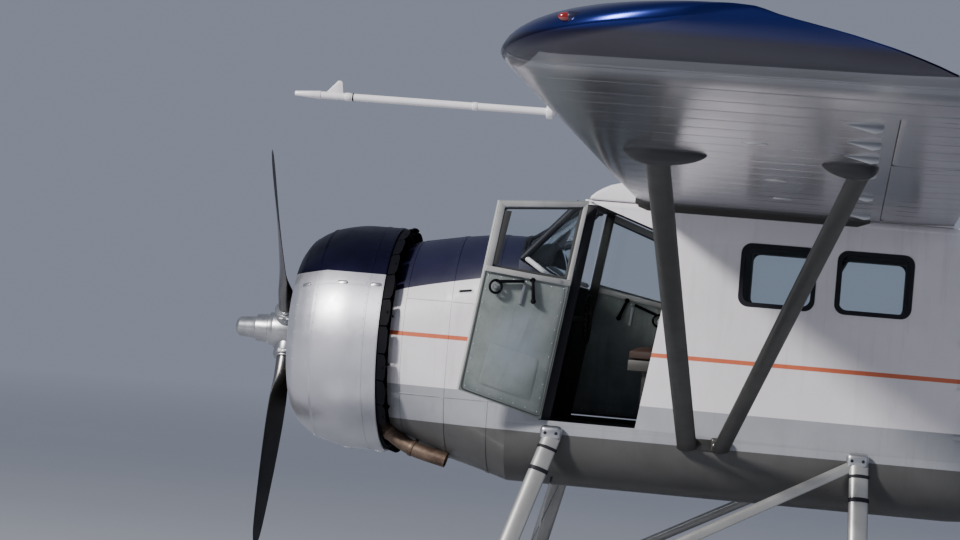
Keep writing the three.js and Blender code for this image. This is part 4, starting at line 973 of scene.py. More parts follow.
class MakeFuselage(bpy.types.Operator):
    """Nose, belly, cabin walls, roof, rear fuselage and their seams."""

    bl_idname = "floatplane.fuselage"
    bl_label = "Fuselage"
    bl_options = {"REGISTER", "UNDO"}

    def execute(self, context):
        self.nose()
        self.cabin()
        self.rear()
        return {"FINISHED"}

    def nose(self):
        xs = [0.80, 0.808, 0.82, 0.835, *even(0.87, 1.5997, 16)]
        shell = body_form(NOSE_STATIONS, xs)
        kept(shell, "nose_shell", 35)
        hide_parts("fuselage_nose")
        dress(shell, "airframe", "white_paint", paint("hull_paint"))
        bands = [hoop(NOSE_STATIONS, x, 0.03, 0.0025) for x in NOSE_FRAMES]
        for z in (0.28, -0.33):
            for sign in (-1, 1):
                line = [at(x, sign * (body_side(NOSE_STATIONS, x, z) + 0.001), z)
                        for x in even(0.885, 1.59, 12)]
                bands.append(swept(line, 0.0035, 6))
        bands.append(swept([at(x, 0, between_rows(NOSE_STATIONS, x)[2] + 0.001)
                            for x in even(0.885, 1.59, 12)], 0.0045, 6))
        settle(bands, "nose_seams", 40, "white_paint", "hull_paint")
        seats = []
        for x in NOSE_FRAMES:
            ring = body_ring(*between_rows(NOSE_STATIONS, x), grow=0.0025, steps=22)
            centre = at(x, 0, 0)
            seats += [(p, (p - centre)) for p in ring[::2]]
        riveted("nose_rivets", seats)
        self.nose_vents()

    def nose_vents(self):
        """A small vent with a raised rim on each side of the nose; its mouth is a flush black sheet, painted
        shade where the opening would be.
        """
        outline = [(1.222, 0.336), (1.322, 0.350), (1.318, 0.376), (1.218, 0.362)]
        rims, shade_plugs = [], []
        for sign in (-1, 1):
            def ring(inset, proud):
                line = rounded_corners(inset_line(outline, inset), 0.012)
                return [at(x, sign * (body_side(NOSE_STATIONS, x, z) + proud), z) for x, z in line]
            rims.append(skin([ring(0, -0.002), ring(0, 0.002), ring(0.004, 0.004), ring(0.006, 0.002),
                              ring(0.006, -0.002)], closed_along=True))
            shade_plugs.append(skin([ring(0.004, -0.001), ring(0.004, 0.001)]))
        dress(smooth(outward(joined(rims, "nose_vent_rims")), 40), "airframe", "white_paint",
              paint("hull_paint"))
        # Painted shade: a black sheet stands in for the dark inside of each vent.
        dress(outward(joined(shade_plugs, "nose_vents")), "airframe", "white_paint", paint("black_paint"))

    def wall_finish(self, centre, normal):
        """1 is the lining inside, near-black as painted shade, 2 the dark edge of the cockpit's opening and 0
        the paint outside.
        """
        if normal.y * centre.y < -1e-4 and abs(centre.y) < 0.668:
            return 1
        return 2 if abs(centre.y) < 0.662 and centre.x < at(2.75, 0, 0).x else 0

    def roof_finish(self, centre, normal):
        """1 is the ceiling, near-black as painted shade, 2 the outer edge under the wing's root, dark olive
        as painted shade, and 0 the top.
        """
        ceiling = normal.z < -0.3 and abs(centre.y) < 0.665 and centre.z > 3.3
        return 1 if ceiling else (2 if abs(centre.y) > 0.683 else 0)

    def cabin(self):
        rows = [(1.60, 0.680, 0.360), (4.40, 0.680, 0.360), (5.5997, 0.600, 0.330)]
        rings = []
        for x in (1.60, 2.3, 3.0, 3.7, 4.40, 4.7, 5.0, 5.3, 5.5997):
            half, corner = between_rows(rows, x)[1:]
            bottom = between_rows([(1.6, -0.84), (4.4, -0.84), (5.6, -0.76)], x)[1]
            ring = [at(x, half, -0.4503), at(x, -half, -0.4503)]
            for sign, start in ((-1, 180), (1, 270)):
                for i in range(13):
                    turn = math.radians(start + 90 * i / 12)
                    ring.append(at(x, sign * (half - corner) + corner * math.cos(turn),
                                   bottom + corner + corner * math.sin(turn)))
            rings.append(ring)
        belly = skin(rings)
        kept(belly, "belly_shell", 35)
        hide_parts("cabin_belly")
        floor_top = at(0, 0, -0.451).z
        dress(belly, "airframe", "aluminium", paint("hull_paint"), paint("cabin_floor"),
              choose=lambda centre, normal: 1 if normal.z > 0.9 and centre.z > floor_top else 0)
        for side, _ in SIDES:
            wall = carried(f"cabin_side_{side}", bevel=0.0015)
            dress(wall, "airframe", "white_paint", paint("hull_paint"), paint("cabin_lining_painted_shade"),
                  paint("frame_dark"), choose=self.wall_finish)
        # The strip under the wing's root takes the struts' dark olive as painted shade.
        roof = carried("cabin_roof", bevel=0.0015)
        dress(roof, "airframe", "white_paint", paint("plain_white"), paint("cabin_lining_painted_shade"),
              paint("strut_paint"), choose=self.roof_finish)
        fairing = carried("wing_centre_fairing", bevel=0.02, angle=50)
        dress(fairing, "airframe", "white_paint", paint("plain_white"))

    def rear(self):
        dress(carried("tail_cone", "rear_frame", angle=35), "airframe", "white_paint", paint("hull_paint"))
        bands, seats = [], []
        for x in (5.64, 6.15, 6.66, 7.17, 7.68, 8.19):
            bands.append(hoop(TAIL_STATIONS, x, 0.028, 0.0015))
            ring = body_ring(*between_rows(TAIL_STATIONS, x), grow=0.0015, steps=10)
            seats += self.spaced(ring, at(x, 0, 0), 0.085)
        for z in (0.30, -0.20):
            for sign in (-1, 1):
                line = [at(x, sign * (body_side(TAIL_STATIONS, x, z) + 0.0005), z)
                        for x in even(5.62, 8.3, 20)]
                bands.append(swept(line, 0.003, 6))
        settle(bands, "rear_seams", 40, "white_paint", "hull_paint")
        riveted("rear_rivets", seats)
        self.wall_rivets()

    def spaced(self, ring, centre, pitch):
        """Seats at an even pitch round a ring, each facing away from the middle."""
        seats, left = [], 0.0
        for start, end in zip(ring, [*ring[1:], ring[0]]):
            length = (end - start).length
            while left < length:
                place = start.lerp(end, left / length)
                seats.append((place, place - centre))
                left += pitch
            left -= length
        return seats

    def wall_rivets(self):
        seats = []
        for _, sign in SIDES:
            for x in (2.70, 2.93, 3.55, 4.20, 4.40, 5.24):
                seats += [(at(x, sign * BODY_HALF if x <= 4.40 else sign * 0.683, z), (0, sign, 0))
                          for z in even(-0.42, 0.36, 11)]
            seats += [(at(x, sign * BODY_HALF, -0.432), (0, sign, 0)) for x in even(1.66, 4.38, 38)]
        return riveted("side_rivets", seats)


class MakeCowling(bpy.types.Operator):
    """Ring cowling with its seams and latches, cowl flaps and exhaust."""

    bl_idname = "floatplane.cowling"
    bl_label = "Cowling"
    bl_options = {"REGISTER", "UNDO"}

    def execute(self, context):
        outside = [(0.105, 0.500), (0.106, 0.514), (0.110, 0.531), (0.125, 0.560), (0.160, 0.610),
                   (0.196, 0.639), (0.251, 0.673), (0.336, 0.708), (0.479, 0.737), (0.625, 0.741),
                   (0.741, 0.741)]
        inside = [(0.741, 0.729), (0.479, 0.724), (0.412, 0.704), (0.411, 0.6783), (0.345, 0.677),
                  (0.251, 0.640), (0.196, 0.606), (0.150, 0.560), (0.130, 0.520), (0.122, 0.496),
                  (0.113, 0.490)]
        line = [(p.x, p.y) for p in curve_through([(x, r, 0) for x, r in outside[:-1]], 4)]
        ring = turned([*line, outside[-1], *inside], 128, closed=True)
        kept(ring, "cowl_ring", 40)
        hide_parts("cowl")
        mouth = at(0.118, 0, 0).x

        def inner_face(centre, normal):
            out = Vector((0, centre.y, centre.z - THRUST_LINE_HEIGHT)).normalized()
            return 1 if normal.dot(out) < -0.2 and centre.x > mouth else 0

        dress(ring, "airframe", "aluminium", paint("cowl_metal"), paint("black_paint"), choose=inner_face)
        self.seams([(x, r) for x, r in line if x > 0.15])
        self.flaps()
        self.exhaust()
        return {"FINISHED"}

    def seams(self, line):
        bands = []
        for x in (0.300, 0.640, 0.726):
            r = between_rows(line, x)[1]
            bands.append(outward(turned([(x - 0.011, r - 0.001), (x - 0.010, r + 0.0018),
                                         (x + 0.010, r + 0.0018), (x + 0.011, r - 0.001)], 128, closed=True)))
        latches = []
        for angle in (62, 180, 298):
            out = Vector((0, math.sin(math.radians(angle)), math.cos(math.radians(angle))))
            side = Vector((0, out.z, -out.y))
            rows = [[at(x, 0, 0) + out * (r + high) + side * way for way, high in (
                (-0.014, -0.002), (-0.013, 0.0016), (0.013, 0.0016), (0.014, -0.002))] for x, r in line]
            bands.append(skin(rows))
            for x in (0.225, 0.470, 0.690):
                r = between_rows(line, x)[1]
                near = slab((-0.030, -0.011, -0.002), (0.030, 0.011, 0.006), 0.002)
                lever = slab((-0.022, -0.006, 0.004), (0.034, 0.006, 0.0095), 0.002)
                latch = joined([near, lever], "latch")
                slope = math.atan2(between_rows(line, x + 0.02)[1] - between_rows(line, x - 0.02)[1], 0.04)
                latch.data.transform(Matrix.Translation(at(x, 0, 0) + out * (r + 0.001)) @ Matrix((
                    (1, 0, 0), (0, side.y, out.y), (0, side.z, out.z))).to_4x4()
                                     @ Matrix.Rotation(-slope, 4, "Y"))
                latches.append(latch)
        settle(bands, "cowl_bands", 40, "aluminium", "cowl_metal")
        settle(latches, "cowl_latches", 40, "aluminium", "bare_metal")
        seats = []
        for x, pitch in ((0.176, 0.09), (0.2945, 0.06), (0.3055, 0.06), (0.640, 0.055), (0.726, 0.055)):
            r = between_rows(line, x)[1]
            count = round(2 * math.pi * r / pitch)
            for i in range(count):
                turn = 2 * math.pi * i / count
                out = Vector((0, math.sin(turn), math.cos(turn)))
                seats.append((at(x, 0, 0) + out * (r + 0.0018), out))
        dress(rivet_rows("cowl_rivets", seats, 0.0038, 0.0014), "airframe", "aluminium", paint("cowl_metal"))

    def flaps(self):
        count = sizes().cowl_flaps
        half = math.pi / count
        pipe = (-0.305, -0.600)
        petals = []
        for i in range(count):
            middle = 2 * math.pi * (i + 0.5) / count
            if math.hypot(0.738 * math.sin(middle) - pipe[0], 0.738 * math.cos(middle) - pipe[1]) < 0.155:
                continue
            rows = []
            for k in range(7):
                share = k / 6 * 2 - 1
                turn = middle + share * half * 0.95
                rear = 0.8075 - 0.012 * abs(share) ** 6
                out = Vector((0, math.sin(turn), math.cos(turn)))
                rows.append([at(x, 0, 0) + out * r for x, r in (
                    (0.7445, 0.7310), (0.775, 0.7395), (rear, 0.7488), (rear, 0.7455), (0.775, 0.7365),
                    (0.7445, 0.7280))])
            petals.append(skin(rows))
            out = Vector((0, math.sin(middle), math.cos(middle)))
            if i % 2 == 0:
                nose_edge = between_rows(NOSE_STATIONS, 0.812)
                petals.append(bar(at(0.812, 0, 0) + out * (nose_edge[1] - 0.004),
                                  at(0.793, 0, 0) + out * 0.742, 0.006, sides=10))
                petals.append(bar(at(0.790, 0, 0) + out * 0.730, at(0.796, 0, 0) + out * 0.746, 0.011,
                                  sides=10))
        ring = outward(turned([(0.7415, 0.703), (0.7415, 0.7275), (0.7455, 0.7290), (0.7500, 0.7275),
                               (0.7500, 0.703)],
                              96, closed=True))
        piece = smooth(joined([ring, *petals], "cowl_flap_petals_painted_shade"), 40)
        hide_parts("cowl_flaps")
        # The petals are painted black as shade, standing in for the open gap behind the cowling.
        dress(piece, "airframe", "dark_metal", paint("black_paint"))

    def exhaust(self):
        points = curve_through([at(*p) for p in (
            (0.700, -0.270, -0.520), (0.800, -0.305, -0.600), (0.960, -0.330, -0.690),
            (1.190, -0.345, -0.747))], 8)
        pipe = swept(points, 0.050, 28)
        outlet = (points[-1] - points[-2]).normalized()
        bore = [points[-1] + outlet * reach for reach in (0.004, -0.05, -0.11)]
        hole = swept(bore, 0.045, 28)
        cut(pipe, hole)
        collars = []
        for i in (8, 16):
            way = (points[i + 1] - points[i - 1]).normalized()
            collars.append(bar(points[i] - way * 0.014, points[i] + way * 0.014, 0.0545, sides=32,
                               bevel=0.003))
            side = way.orthogonal().normalized()
            collars.append(bar(points[i] + side * 0.056 - way * 0.010,
                               points[i] + side * 0.056 + way * 0.010, 0.009, sides=8))
        piece = smooth(joined([pipe, *collars], "exhaust_tail_pipe"), 40)
        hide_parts("exhaust_pipe")
        dress(piece, "airframe", "dark_metal", paint("exhaust_steel"))


class MakeWings(bpy.types.Operator):
    """Wings with smooth noses and tips, flaps, ailerons, rib tapes and fittings."""

    bl_idname = "floatplane.wings"
    bl_label = "Wings"
    bl_options = {"REGISTER", "UNDO"}

    def execute(self, context):
        for side, sign in SIDES:
            self.panel(side, sign)
            self.tapes(side, sign)
            self.fittings(side, sign)
        return {"FINISHED"}

    def panel(self, side, sign):
        ys = [ROOT_FACE, *even(1.2, 6.6, 10), 6.7, *even(6.8, 7.4, 9), 7.47, 7.53, 7.58, 7.63, 7.67, 7.71,
              7.745, 7.775, 7.80, 7.82, 7.834, 7.843, 7.847]
        wing = skin([wing_ring(sign * y) for y in ys])
        wing.name = f"wing_{side}_skin"
        for span in (FLAP_SPAN, AILERON_SPAN):
            ends = [at(SURFACE_AXIS, sign * y, under_wing(y) + 0.058) for y in span]
            cut(wing, bar(*ends, SURFACE_NOSE + 0.008, sides=40))
            low = Vector((ends[0].x, min(e.y for e in ends), 3.0))
            cut(wing, slab(low, (ends[0].x + 0.7, max(e.y for e in ends), 4.4), bevel=0))
        smooth(outward(wing), 30)
        dress(wing, "airframe", "silver_dope", paint("wing_dope"))
        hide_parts(f"wing_{side}")
        for kind in ("flap", "aileron"):
            surface = carried(f"{kind}_{side}", angle=28)
            dress(surface, f"{kind}_{side}", "silver_dope", paint("wing_dope"))

    def tapes(self, side, sign):
        nose = [0.40, 0.30, 0.22, 0.15, 0.10, 0.06, 0.03, 0.012, 0.003]
        round_nose = [(s, 1) for s in nose] + [(0.0, 1)] + [(s, 2) for s in reversed(nose)]
        fixed = []
        moving = {"flap": [], "aileron": []}
        width = sizes().tape
        count = round((7.3 - 0.95) / sizes().rib_pitch)
        for y in even(0.95, 7.3, count + 1):
            kind = "flap" if FLAP_SPAN[0] + 0.05 < y < FLAP_SPAN[1] - 0.05 else (
                "aileron" if AILERON_SPAN[0] + 0.05 < y < AILERON_SPAN[1] - 0.05 else None)
            rear = [0.745, 0.62, 0.51]
            if not kind and y >= AILERON_SPAN[1] + 0.06:
                rear = [0.985, 0.88, 0.75, 0.62, 0.51]
            path = [(s, 1) for s in rear] + round_nose + [(s, 2) for s in reversed(rear)]
            fixed.append(tape_over(lambda across, spot, high: wing_spot(
                sign * (y + across), spot[0], spot[1], high), path, width))
            if kind:
                for top in (1, 2):
                    path = [(s, top) for s in (0.815, 0.88, 0.94, 0.985)]
                    moving[kind].append(tape_over(lambda across, spot, high: wing_spot(
                        sign * (y + across), spot[0], spot[1], high, straight=True), path, width))
        settle(fixed, f"wing_{side}_tapes", 40, "silver_dope", "wing_dope")
        for kind, pieces in moving.items():
            settle(pieces, f"{kind}_{side}_tapes", 40, "silver_dope", "wing_dope", f"{kind}_{side}")

    def fittings(self, side, sign):
        metal, dark = [], []
        for y in (1.15, 2.55, 3.95, 4.75, 5.40, 6.10):
            under = under_wing(y)
            metal.append(prism([(3.60, under + 0.001), (3.775, under + 0.001), (3.770, under - 0.022),
                                (3.735, under - 0.030), (3.64, under - 0.008)],
                               sign * (y - 0.006), sign * (y + 0.006), 0.0015))
        for y, x in ((1.9, 3.25), (3.1, 3.25), (5.0, 3.2)):
            under = under_wing(y)
            metal.append(bar(at(x, sign * y, under + 0.002), at(x, sign * y, under - 0.003), 0.062, 0.060,
                             sides=36))
            metal.append(bar(at(x, sign * y, under - 0.002), at(x, sign * y, under - 0.005), 0.012, sides=16))
        cap = wing_spot(sign * 1.5, 0.28, 1)
        metal.append(bar(cap - Vector((0, 0, 0.004)), cap + Vector((0, 0, 0.004)), 0.066, 0.063, sides=36))
        dark.append(bar(cap + Vector((0, 0, 0.002)), cap + Vector((0, 0, 0.013)), 0.042, 0.038, sides=32,
                        bevel=0.002))
        dark.append(slab(cap + Vector((-0.030, -0.005, 0.011)), cap + Vector((0.030, 0.005, 0.020)), 0.003))
        settle(metal, f"wing_{side}_fittings", 38, "aluminium", "bare_metal")
        settle(dark, f"wing_{side}_caps", 38, "dark_metal", "black_paint")
        y = 7.66
        tip = wing_spot(sign * y, 0.02, 1)
        lens = knob(tip + Vector((-0.004, 0, 0.0)), 0.022, (1.5, 0.8, 0.8), 12)
        dress(smooth(lens, 60), "airframe", "silver_dope",
              paint("port_lamp" if side == "left" else "starboard_lamp"))
        lens.name = f"wing_{side}_lamp"
        base = bar(tip + Vector((0.002, 0, -0.002)), tip + Vector((0.050, 0, 0.006)), 0.024, 0.018, sides=24,
                   bevel=0.004)
        base.name = f"wing_{side}_lamp_base"
        dress(smooth(base, 40), "airframe", "silver_dope", paint("trim_paint"))


class MakeStruts(bpy.types.Operator):
    """Wing struts with their cuffs and feet, and the airspeed boom."""

    bl_idname = "floatplane.struts"
    bl_label = "Struts"
    bl_options = {"REGISTER", "UNDO"}

    def execute(self, context):
        for side, sign in SIDES:
            self.wing_struts(side, sign)
        self.boom()
        return {"FINISHED"}

    def cuff(self, x, sign, ahead, behind):
        """The canoe-shaped fairing where a strut meets the wing."""
        rings = []
        for i in range(25):
            share = math.cos(math.pi * i / 24)
            reach = -ahead * share if share > 0 else -behind * share
            swell = max(0.02, (1 - share * share) ** 0.62)
            ring = []
            for k in range(15):
                turn = math.pi * k / 14
                y = STRUT_Y + 0.086 * swell * math.cos(turn)
                ring.append(at(x + reach, sign * y,
                               under_wing(y) + 0.004 - (0.004 + 0.068 * swell) * math.sin(turn)))
            rings.append(ring)
        return skin(rings)

    def wing_struts(self, side, sign):
        top = under_wing(STRUT_Y) - 0.012
        low = -0.505
        bars, cuffs, feet, bolts = [], [], [], []
        for x, top_x, chord, thick, ahead, behind in WING_STRUTS:
            bars.append(streamlined(at(x, sign * 0.735, low), at(top_x, sign * STRUT_Y, top), chord, thick,
                                    32))
            cuffs.append(self.cuff(top_x, sign, ahead, behind))
            feet.append(slab(at(x - 0.055, sign * ROOT_FACE, -0.520), at(x + 0.055, sign * 0.755, -0.430),
                             0.016, 3))
            for dx in (-0.030, 0.030):
                bolts.append(bar(at(x + dx, sign * 0.752, -0.475), at(x + dx, sign * 0.763, -0.475), 0.010,
                                 sides=6, bevel=0.002))
        feet.append(slab(at(2.75, sign * ROOT_FACE, -0.515), at(2.96, sign * 0.692, -0.445), 0.003))
        struts = smooth(joined(bars, f"wing_struts_{side}_smooth"), 50)
        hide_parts(f"wing_struts_{side}")
        dress(struts, "airframe", "aluminium", paint("strut_paint"))
        settle(cuffs, f"strut_cuffs_{side}", 60, "aluminium", "cuff_paint")
        settle(feet, f"strut_feet_{side}", 40, "aluminium", "strut_paint")
        settle(bolts, f"strut_bolts_{side}", 35, "aluminium", "bare_metal")

    def boom(self):
        y, z = -5.18, 1.1758
        parts = [bar(at(1.180, y, z), at(2.286, y, z), 0.017, sides=28),
                 bar(at(1.062, y, z), at(1.185, y, z), 0.011, 0.0195, sides=28, bevel=0.002),
                 bar(at(1.300, y, z), at(1.330, y, z), 0.0195, sides=28, bevel=0.003),
                 bar(at(1.900, y, z), at(1.925, y, z), 0.0195, sides=28, bevel=0.003),
                 bar(at(2.245, y, z), at(2.277, y, z), 0.034, sides=32, bevel=0.006),
                 prism([(1.205, z + 0.010), (1.290, z + 0.010), (1.282, z + 0.066), (1.276, z + 0.072),
                        (1.262, z + 0.072)], y - 0.004, y + 0.004, 0.0015)]
        piece = smooth(joined(parts, "airspeed_boom"), 40)
        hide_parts("pitot_boom")
        dress(piece, "airframe", "aluminium", paint("plain_white"))
        tip = [bar(at(1.061, y, z), at(1.070, y, z), 0.0062, sides=16),
               bar(at(1.335, y, z), at(1.341, y, z), 0.0180, sides=28)]
        settle(tip, "airspeed_boom_ports", 40, "dark_metal", "black_paint")


# Doors and windows. Outlines are (x, z) points; plain openings are front, rear, low and top
DOOR_CORNERS = [(1.815, -0.410), (2.412, -0.410), (2.582, 0.783), (2.0066, 0.987)]
DOOR_WINDOW = [(1.968, 0.474), (2.480, 0.376), (2.534, 0.758), (2.030, 0.938)]
DOOR_HINGE = (1.811, 0.691, -0.410)
DOOR_HINGE_WAY = Vector((0.1916, 0, 1.397)).normalized()
DOOR_OPEN = math.radians(150)
DOOR_INSIDE = 0.650
CABIN_DOOR = (4.480, 5.140, -0.400, 0.800)
CABIN_DOOR_WINDOW = (4.590, 5.030, 0.430, 0.782)
SIDE_WINDOWS = [(3.020, 3.450, 0.430, 0.782), (3.620, 4.050, 0.430, 0.782)]


def door_swing(side):
    """From a cockpit door's drawn place, shut, to its place at rest: the port door stands open."""
    if side == "right":
        return Matrix.Identity(4)
    x, y, z = DOOR_HINGE
    hinge = at(x, -y, z)
    return turned_about(hinge, -DOOR_OPEN, DOOR_HINGE_WAY)


def shut_place(tree, place):
    """The coordinates of the open port door as if it were shut, so that its stripe runs on."""
    back = door_swing("left").inverted()
    return node(tree, "ShaderNodeMapping", {
        "Vector": place, "Location": back.to_translation(), "Rotation": back.to_euler("XYZ"),
    }).outputs["Vector"]


def prism(outline, near, far, bevel=0.0, segments=2):
    """An outline in the side plane, (x, z) points, between two distances from the middle."""
    piece = skin([[at(x, y, z) for x, z in outline] for y in (near, far)])
    if bevel:
        applied(piece, "BEVEL", width=bevel, segments=segments, limit_method="ANGLE", angle_limit=CORNER)
    return piece


def rounded(front, rear, low, top, radius, steps=6):
    """A rectangle with round corners as (x, z) points."""
    corners = [(rear - radius, top - radius, 0), (front + radius, top - radius, 90),
               (front + radius, low + radius, 180), (rear - radius, low + radius, 270)]
    return [
        (x + radius * math.cos(math.radians(start + 90 * i / steps)),
         z + radius * math.sin(math.radians(start + 90 * i / steps)))
        for x, z, start in corners for i in range(steps + 1)
    ]


def window_rim(window, radius, wide, near, far, overlap=0.0):
    """A flat frame round a window: its inner edge stands into the opening by the overlap."""
    front, rear, low, top = window
    inner = rounded(front + overlap, rear - overlap, low + overlap, top - overlap, radius)
    outer = rounded(front - wide, rear + wide, low - wide, top + wide, radius + wide * 0.6)
    ring = [(outer, near), (outer, far), (inner, far), (inner, near)]
    piece = outward(skin([[at(x, y, z) for x, z in line] for line, y in ring], closed_along=True))
    return applied(piece, "BEVEL", width=0.0012, segments=1, limit_method="ANGLE", angle_limit=SHARP)


def loop_tube(outline, y, radius, sides=8):
    """A tube that follows a closed outline in the side plane."""
    points = [at(x, y, z) for x, z in outline]
    count = len(points)
    rings = []
    for i, p in enumerate(points):
        along = (points[(i + 1) % count] - points[i - 1]).normalized()
        side = Vector((0, 1, 0))
        up = along.cross(side)
        rings.append([
            p + radius * (side * math.cos(2 * math.pi * k / sides) + up * math.sin(2 * math.pi * k / sides))
            for k in range(sides)
        ])
    return outward(skin(rings, closed_along=True))


def inset_line(outline, by):
    """A convex outline moved inwards all round."""
    cx = sum(x for x, _ in outline) / len(outline)
    cz = sum(z for _, z in outline) / len(outline)
    moved = []
    count = len(outline)
    for i in range(count):
        lines = []
        for p, q in ((outline[i - 1], outline[i]), (outline[i], outline[(i + 1) % count])):
            dx, dz = q[0] - p[0], q[1] - p[1]
            size = math.hypot(dx, dz)
            nx, nz = -dz / size, dx / size
            if (cx - p[0]) * nx + (cz - p[1]) * nz < 0:
                nx, nz = -nx, -nz
            lines.append((p[0] + nx * by, p[1] + nz * by, dx / size, dz / size))
        (ax, az, adx, adz), (bx, bz, bdx, bdz) = lines
        cross = adx * bdz - adz * bdx
        t = ((bx - ax) * bdz - (bz - az) * bdx) / cross
        moved.append((ax + adx * t, az + adz * t))
    return moved


def rounded_corners(outline, radius, steps=5):
    """A convex outline with its corners rounded."""
    made = []
    count = len(outline)
    for i in range(count):
        before, corner, after = (Vector(outline[j % count]) for j in (i - 1, i, i + 1))
        first = corner + (before - corner).normalized() * radius
        last = corner + (after - corner).normalized() * radius
        for k in range(steps + 1):
            t = k / steps
            made.append(tuple((1 - t) ** 2 * first + 2 * t * (1 - t) * corner + t * t * last))
    return made


def torus(centre, normal, radius, thick, segments=36):
    """A ring of round wire."""
    clear_selection()
    bpy.ops.mesh.primitive_torus_add(
        location=centre, rotation=Vector(normal).to_track_quat("Z", "Y").to_euler(), major_radius=radius,
        minor_radius=thick, major_segments=segments, minor_segments=10)
    return smooth(placed(bpy.context.object, "ring"), 60)


class MakeOpenings(bpy.types.Operator):
    """Doors, windscreen and windows."""

    bl_idname = "floatplane.openings"
    bl_label = "Doors and windows"
    bl_options = {"REGISTER", "UNDO"}

    def execute(self, context):
        for side, sign in SIDES:
            self.cockpit_door(side, sign)
            self.cabin_door(side, sign)
            self.side_windows(side, sign)
        dress(carried("windshield_glass"), "airframe", "clear_panes", paint("clear_pane"))
        dress(carried("windshield_frame", angle=50), "airframe", "white_paint", paint("frame_dark"),
              paint("plain_white"), choose=self.frame_finish)
        pillars = [swept([at(1.606, s * 0.569, 0.592), at(1.78, s * 0.580, 0.787),
                          at(1.951, s * 0.590, 0.977)],
                         0.026, 20) for _, s in SIDES]
        settle(pillars, "windshield_pillars", 50, "white_paint", "frame_dark")
        strip = [(1.606, 0.0, 0.747), (1.605, 0.21, 0.742), (1.605, 0.42, 0.716), (1.607, 0.52, 0.665),
                 (1.608, 0.575, 0.607)]
        line = [at(x, -y, z) for x, y, z in reversed(strip)] + [at(*p) for p in strip[1:]]
        seal = swept(curve_through(line, 4), 0.0125, 12)
        dress(kept(seal, "windshield_seal", 60), "airframe", "rubber", paint("frame_dark"))
        return {"FINISHED"}

    def frame_finish(self, centre, normal):
        """The quarter window's lower bar is light; the rest of the frame is dark."""
        x, z = centre.x - PROPELLER_BEHIND_MIDDLE, centre.z - THRUST_LINE_HEIGHT
        bar_line = between_rows([(1.618, 0.606), (1.795, 0.496), (1.908, 0.471), (2.0, 0.46)], x)[1]
        return 1 if abs(centre.y) > 0.572 and z < bar_line + 0.024 and x > 1.625 else 0

    def cockpit_door(self, side, sign):
        swing = door_swing(side)
        back = swing.to_3x3().inverted()
        body = f"cockpit_door_{side}"

        def face_kind(centre, normal):
            return 0 if (back @ normal).y * sign > 0.3 else (2 if abs((back @ normal).y) < 0.3 else 1)

        outside = "open_door_paint" if side == "left" else "hull_paint"
        leaf = carried(body, bevel=0.002)
        lining = "open_door_inner" if side == "left" else "door_inner"
        dress(leaf, body, "white_paint", paint(outside), paint(lining), paint("door_frame"), choose=face_kind)
        dress(carried(f"{body}_glass"), body, "clear_panes", paint("clear_pane"))

        def inside(depth):
            return sign * (DOOR_INSIDE - depth)

        low_front, low_rear = DOOR_CORNERS[:2]
        a, b, c, d = DOOR_WINDOW
        hinge_sill = (1.936, 0.474)
        rear_sill = (2.524, 0.376)
        edge = inset_line(DOOR_CORNERS, 0.004)
        strips = [
            [edge[3], edge[2], (c[0] + 0.001, c[1] + 0.001), (d[0] - 0.001, d[1] + 0.001)],
            [edge[2], (rear_sill[0] - 0.004, rear_sill[1]), b, c],
            [edge[3], d, a, (hinge_sill[0] + 0.004, hinge_sill[1])],
        ]
        frame_parts = [prism(strip, inside(-0.001), inside(0.006), bevel=0.002) for strip in strips]
        sill = [(hinge_sill[0] + 0.004, hinge_sill[1]), (rear_sill[0] - 0.004, rear_sill[1]),
                (rear_sill[0] - 0.008, rear_sill[1] - 0.034), (hinge_sill[0], hinge_sill[1] - 0.034)]
        frame_parts.append(prism(sill, inside(-0.001), inside(0.0055), bevel=0.002))
        past_post = 0.070
        ledge = [(sill[0][0] + past_post, sill[0][1] - past_post * 0.17), sill[1], sill[2],
                 (sill[3][0] + past_post, sill[3][1] - past_post * 0.17)]
        frame_parts.append(prism(ledge, inside(0.004), inside(0.016), bevel=0.004))
        rim = rounded_corners(inset_line(DOOR_WINDOW, -0.012), 0.03)
        hole = rounded_corners(inset_line(DOOR_WINDOW, 0.003), 0.02)
        outer_rim = [(rim, 0.6795), (rim, 0.6825), (hole, 0.6825), (hole, 0.6700)]
        frame_parts.append(outward(skin(
            [[at(x, sign * y, z) for x, z in line] for line, y in outer_rim], closed_along=True)))
        self.fit(joined(frame_parts, f"{body}_frame"), swing, body, "white_paint", "door_frame")

        gasket = rounded_corners(inset_line(DOOR_WINDOW, 0.004), 0.02)
        gasket_in = rounded_corners(inset_line(DOOR_WINDOW, 0.016), 0.014)
        rubber = [outward(skin(
            [[at(x, sign * y, z) for x, z in line]
             for line, y in ((gasket, 0.667), (gasket, 0.653), (gasket_in, 0.657), (gasket_in, 0.667))],
            closed_along=True))]
        rubber.append(prism([(2.531, 0.737), (2.484, 0.398), (2.446, 0.404), (2.4795, 0.748)],
                            inside(-0.012), inside(0.003), bevel=0.002))
        rubber.append(loop_tube(rounded_corners(inset_line(DOOR_CORNERS, 0.012), 0.03, 6), inside(0.0),
                                0.004))
        self.fit(joined(rubber, f"{body}_rubber"), swing, body, "rubber", "rubber")

        lower = inset_line([low_front, low_rear, rear_sill, hinge_sill], 0.026)
        lower = [lower[0], lower[1], (lower[2][0], lower[2][1] - 0.018), (lower[3][0], lower[3][1] - 0.018)]
        skin_parts = [prism(rounded_corners(lower, 0.05), inside(-0.001), inside(0.003), bevel=0.0015)]
        pocket = rounded_corners([(1.93, -0.33), (2.30, -0.33), (2.315, -0.06), (1.965, -0.06)], 0.03)
        skin_parts.append(prism(pocket, inside(0.002), inside(0.0045), bevel=0.001))
        self.fit(joined(skin_parts, f"{body}_inner_skin"), swing, body, "white_paint", lining)

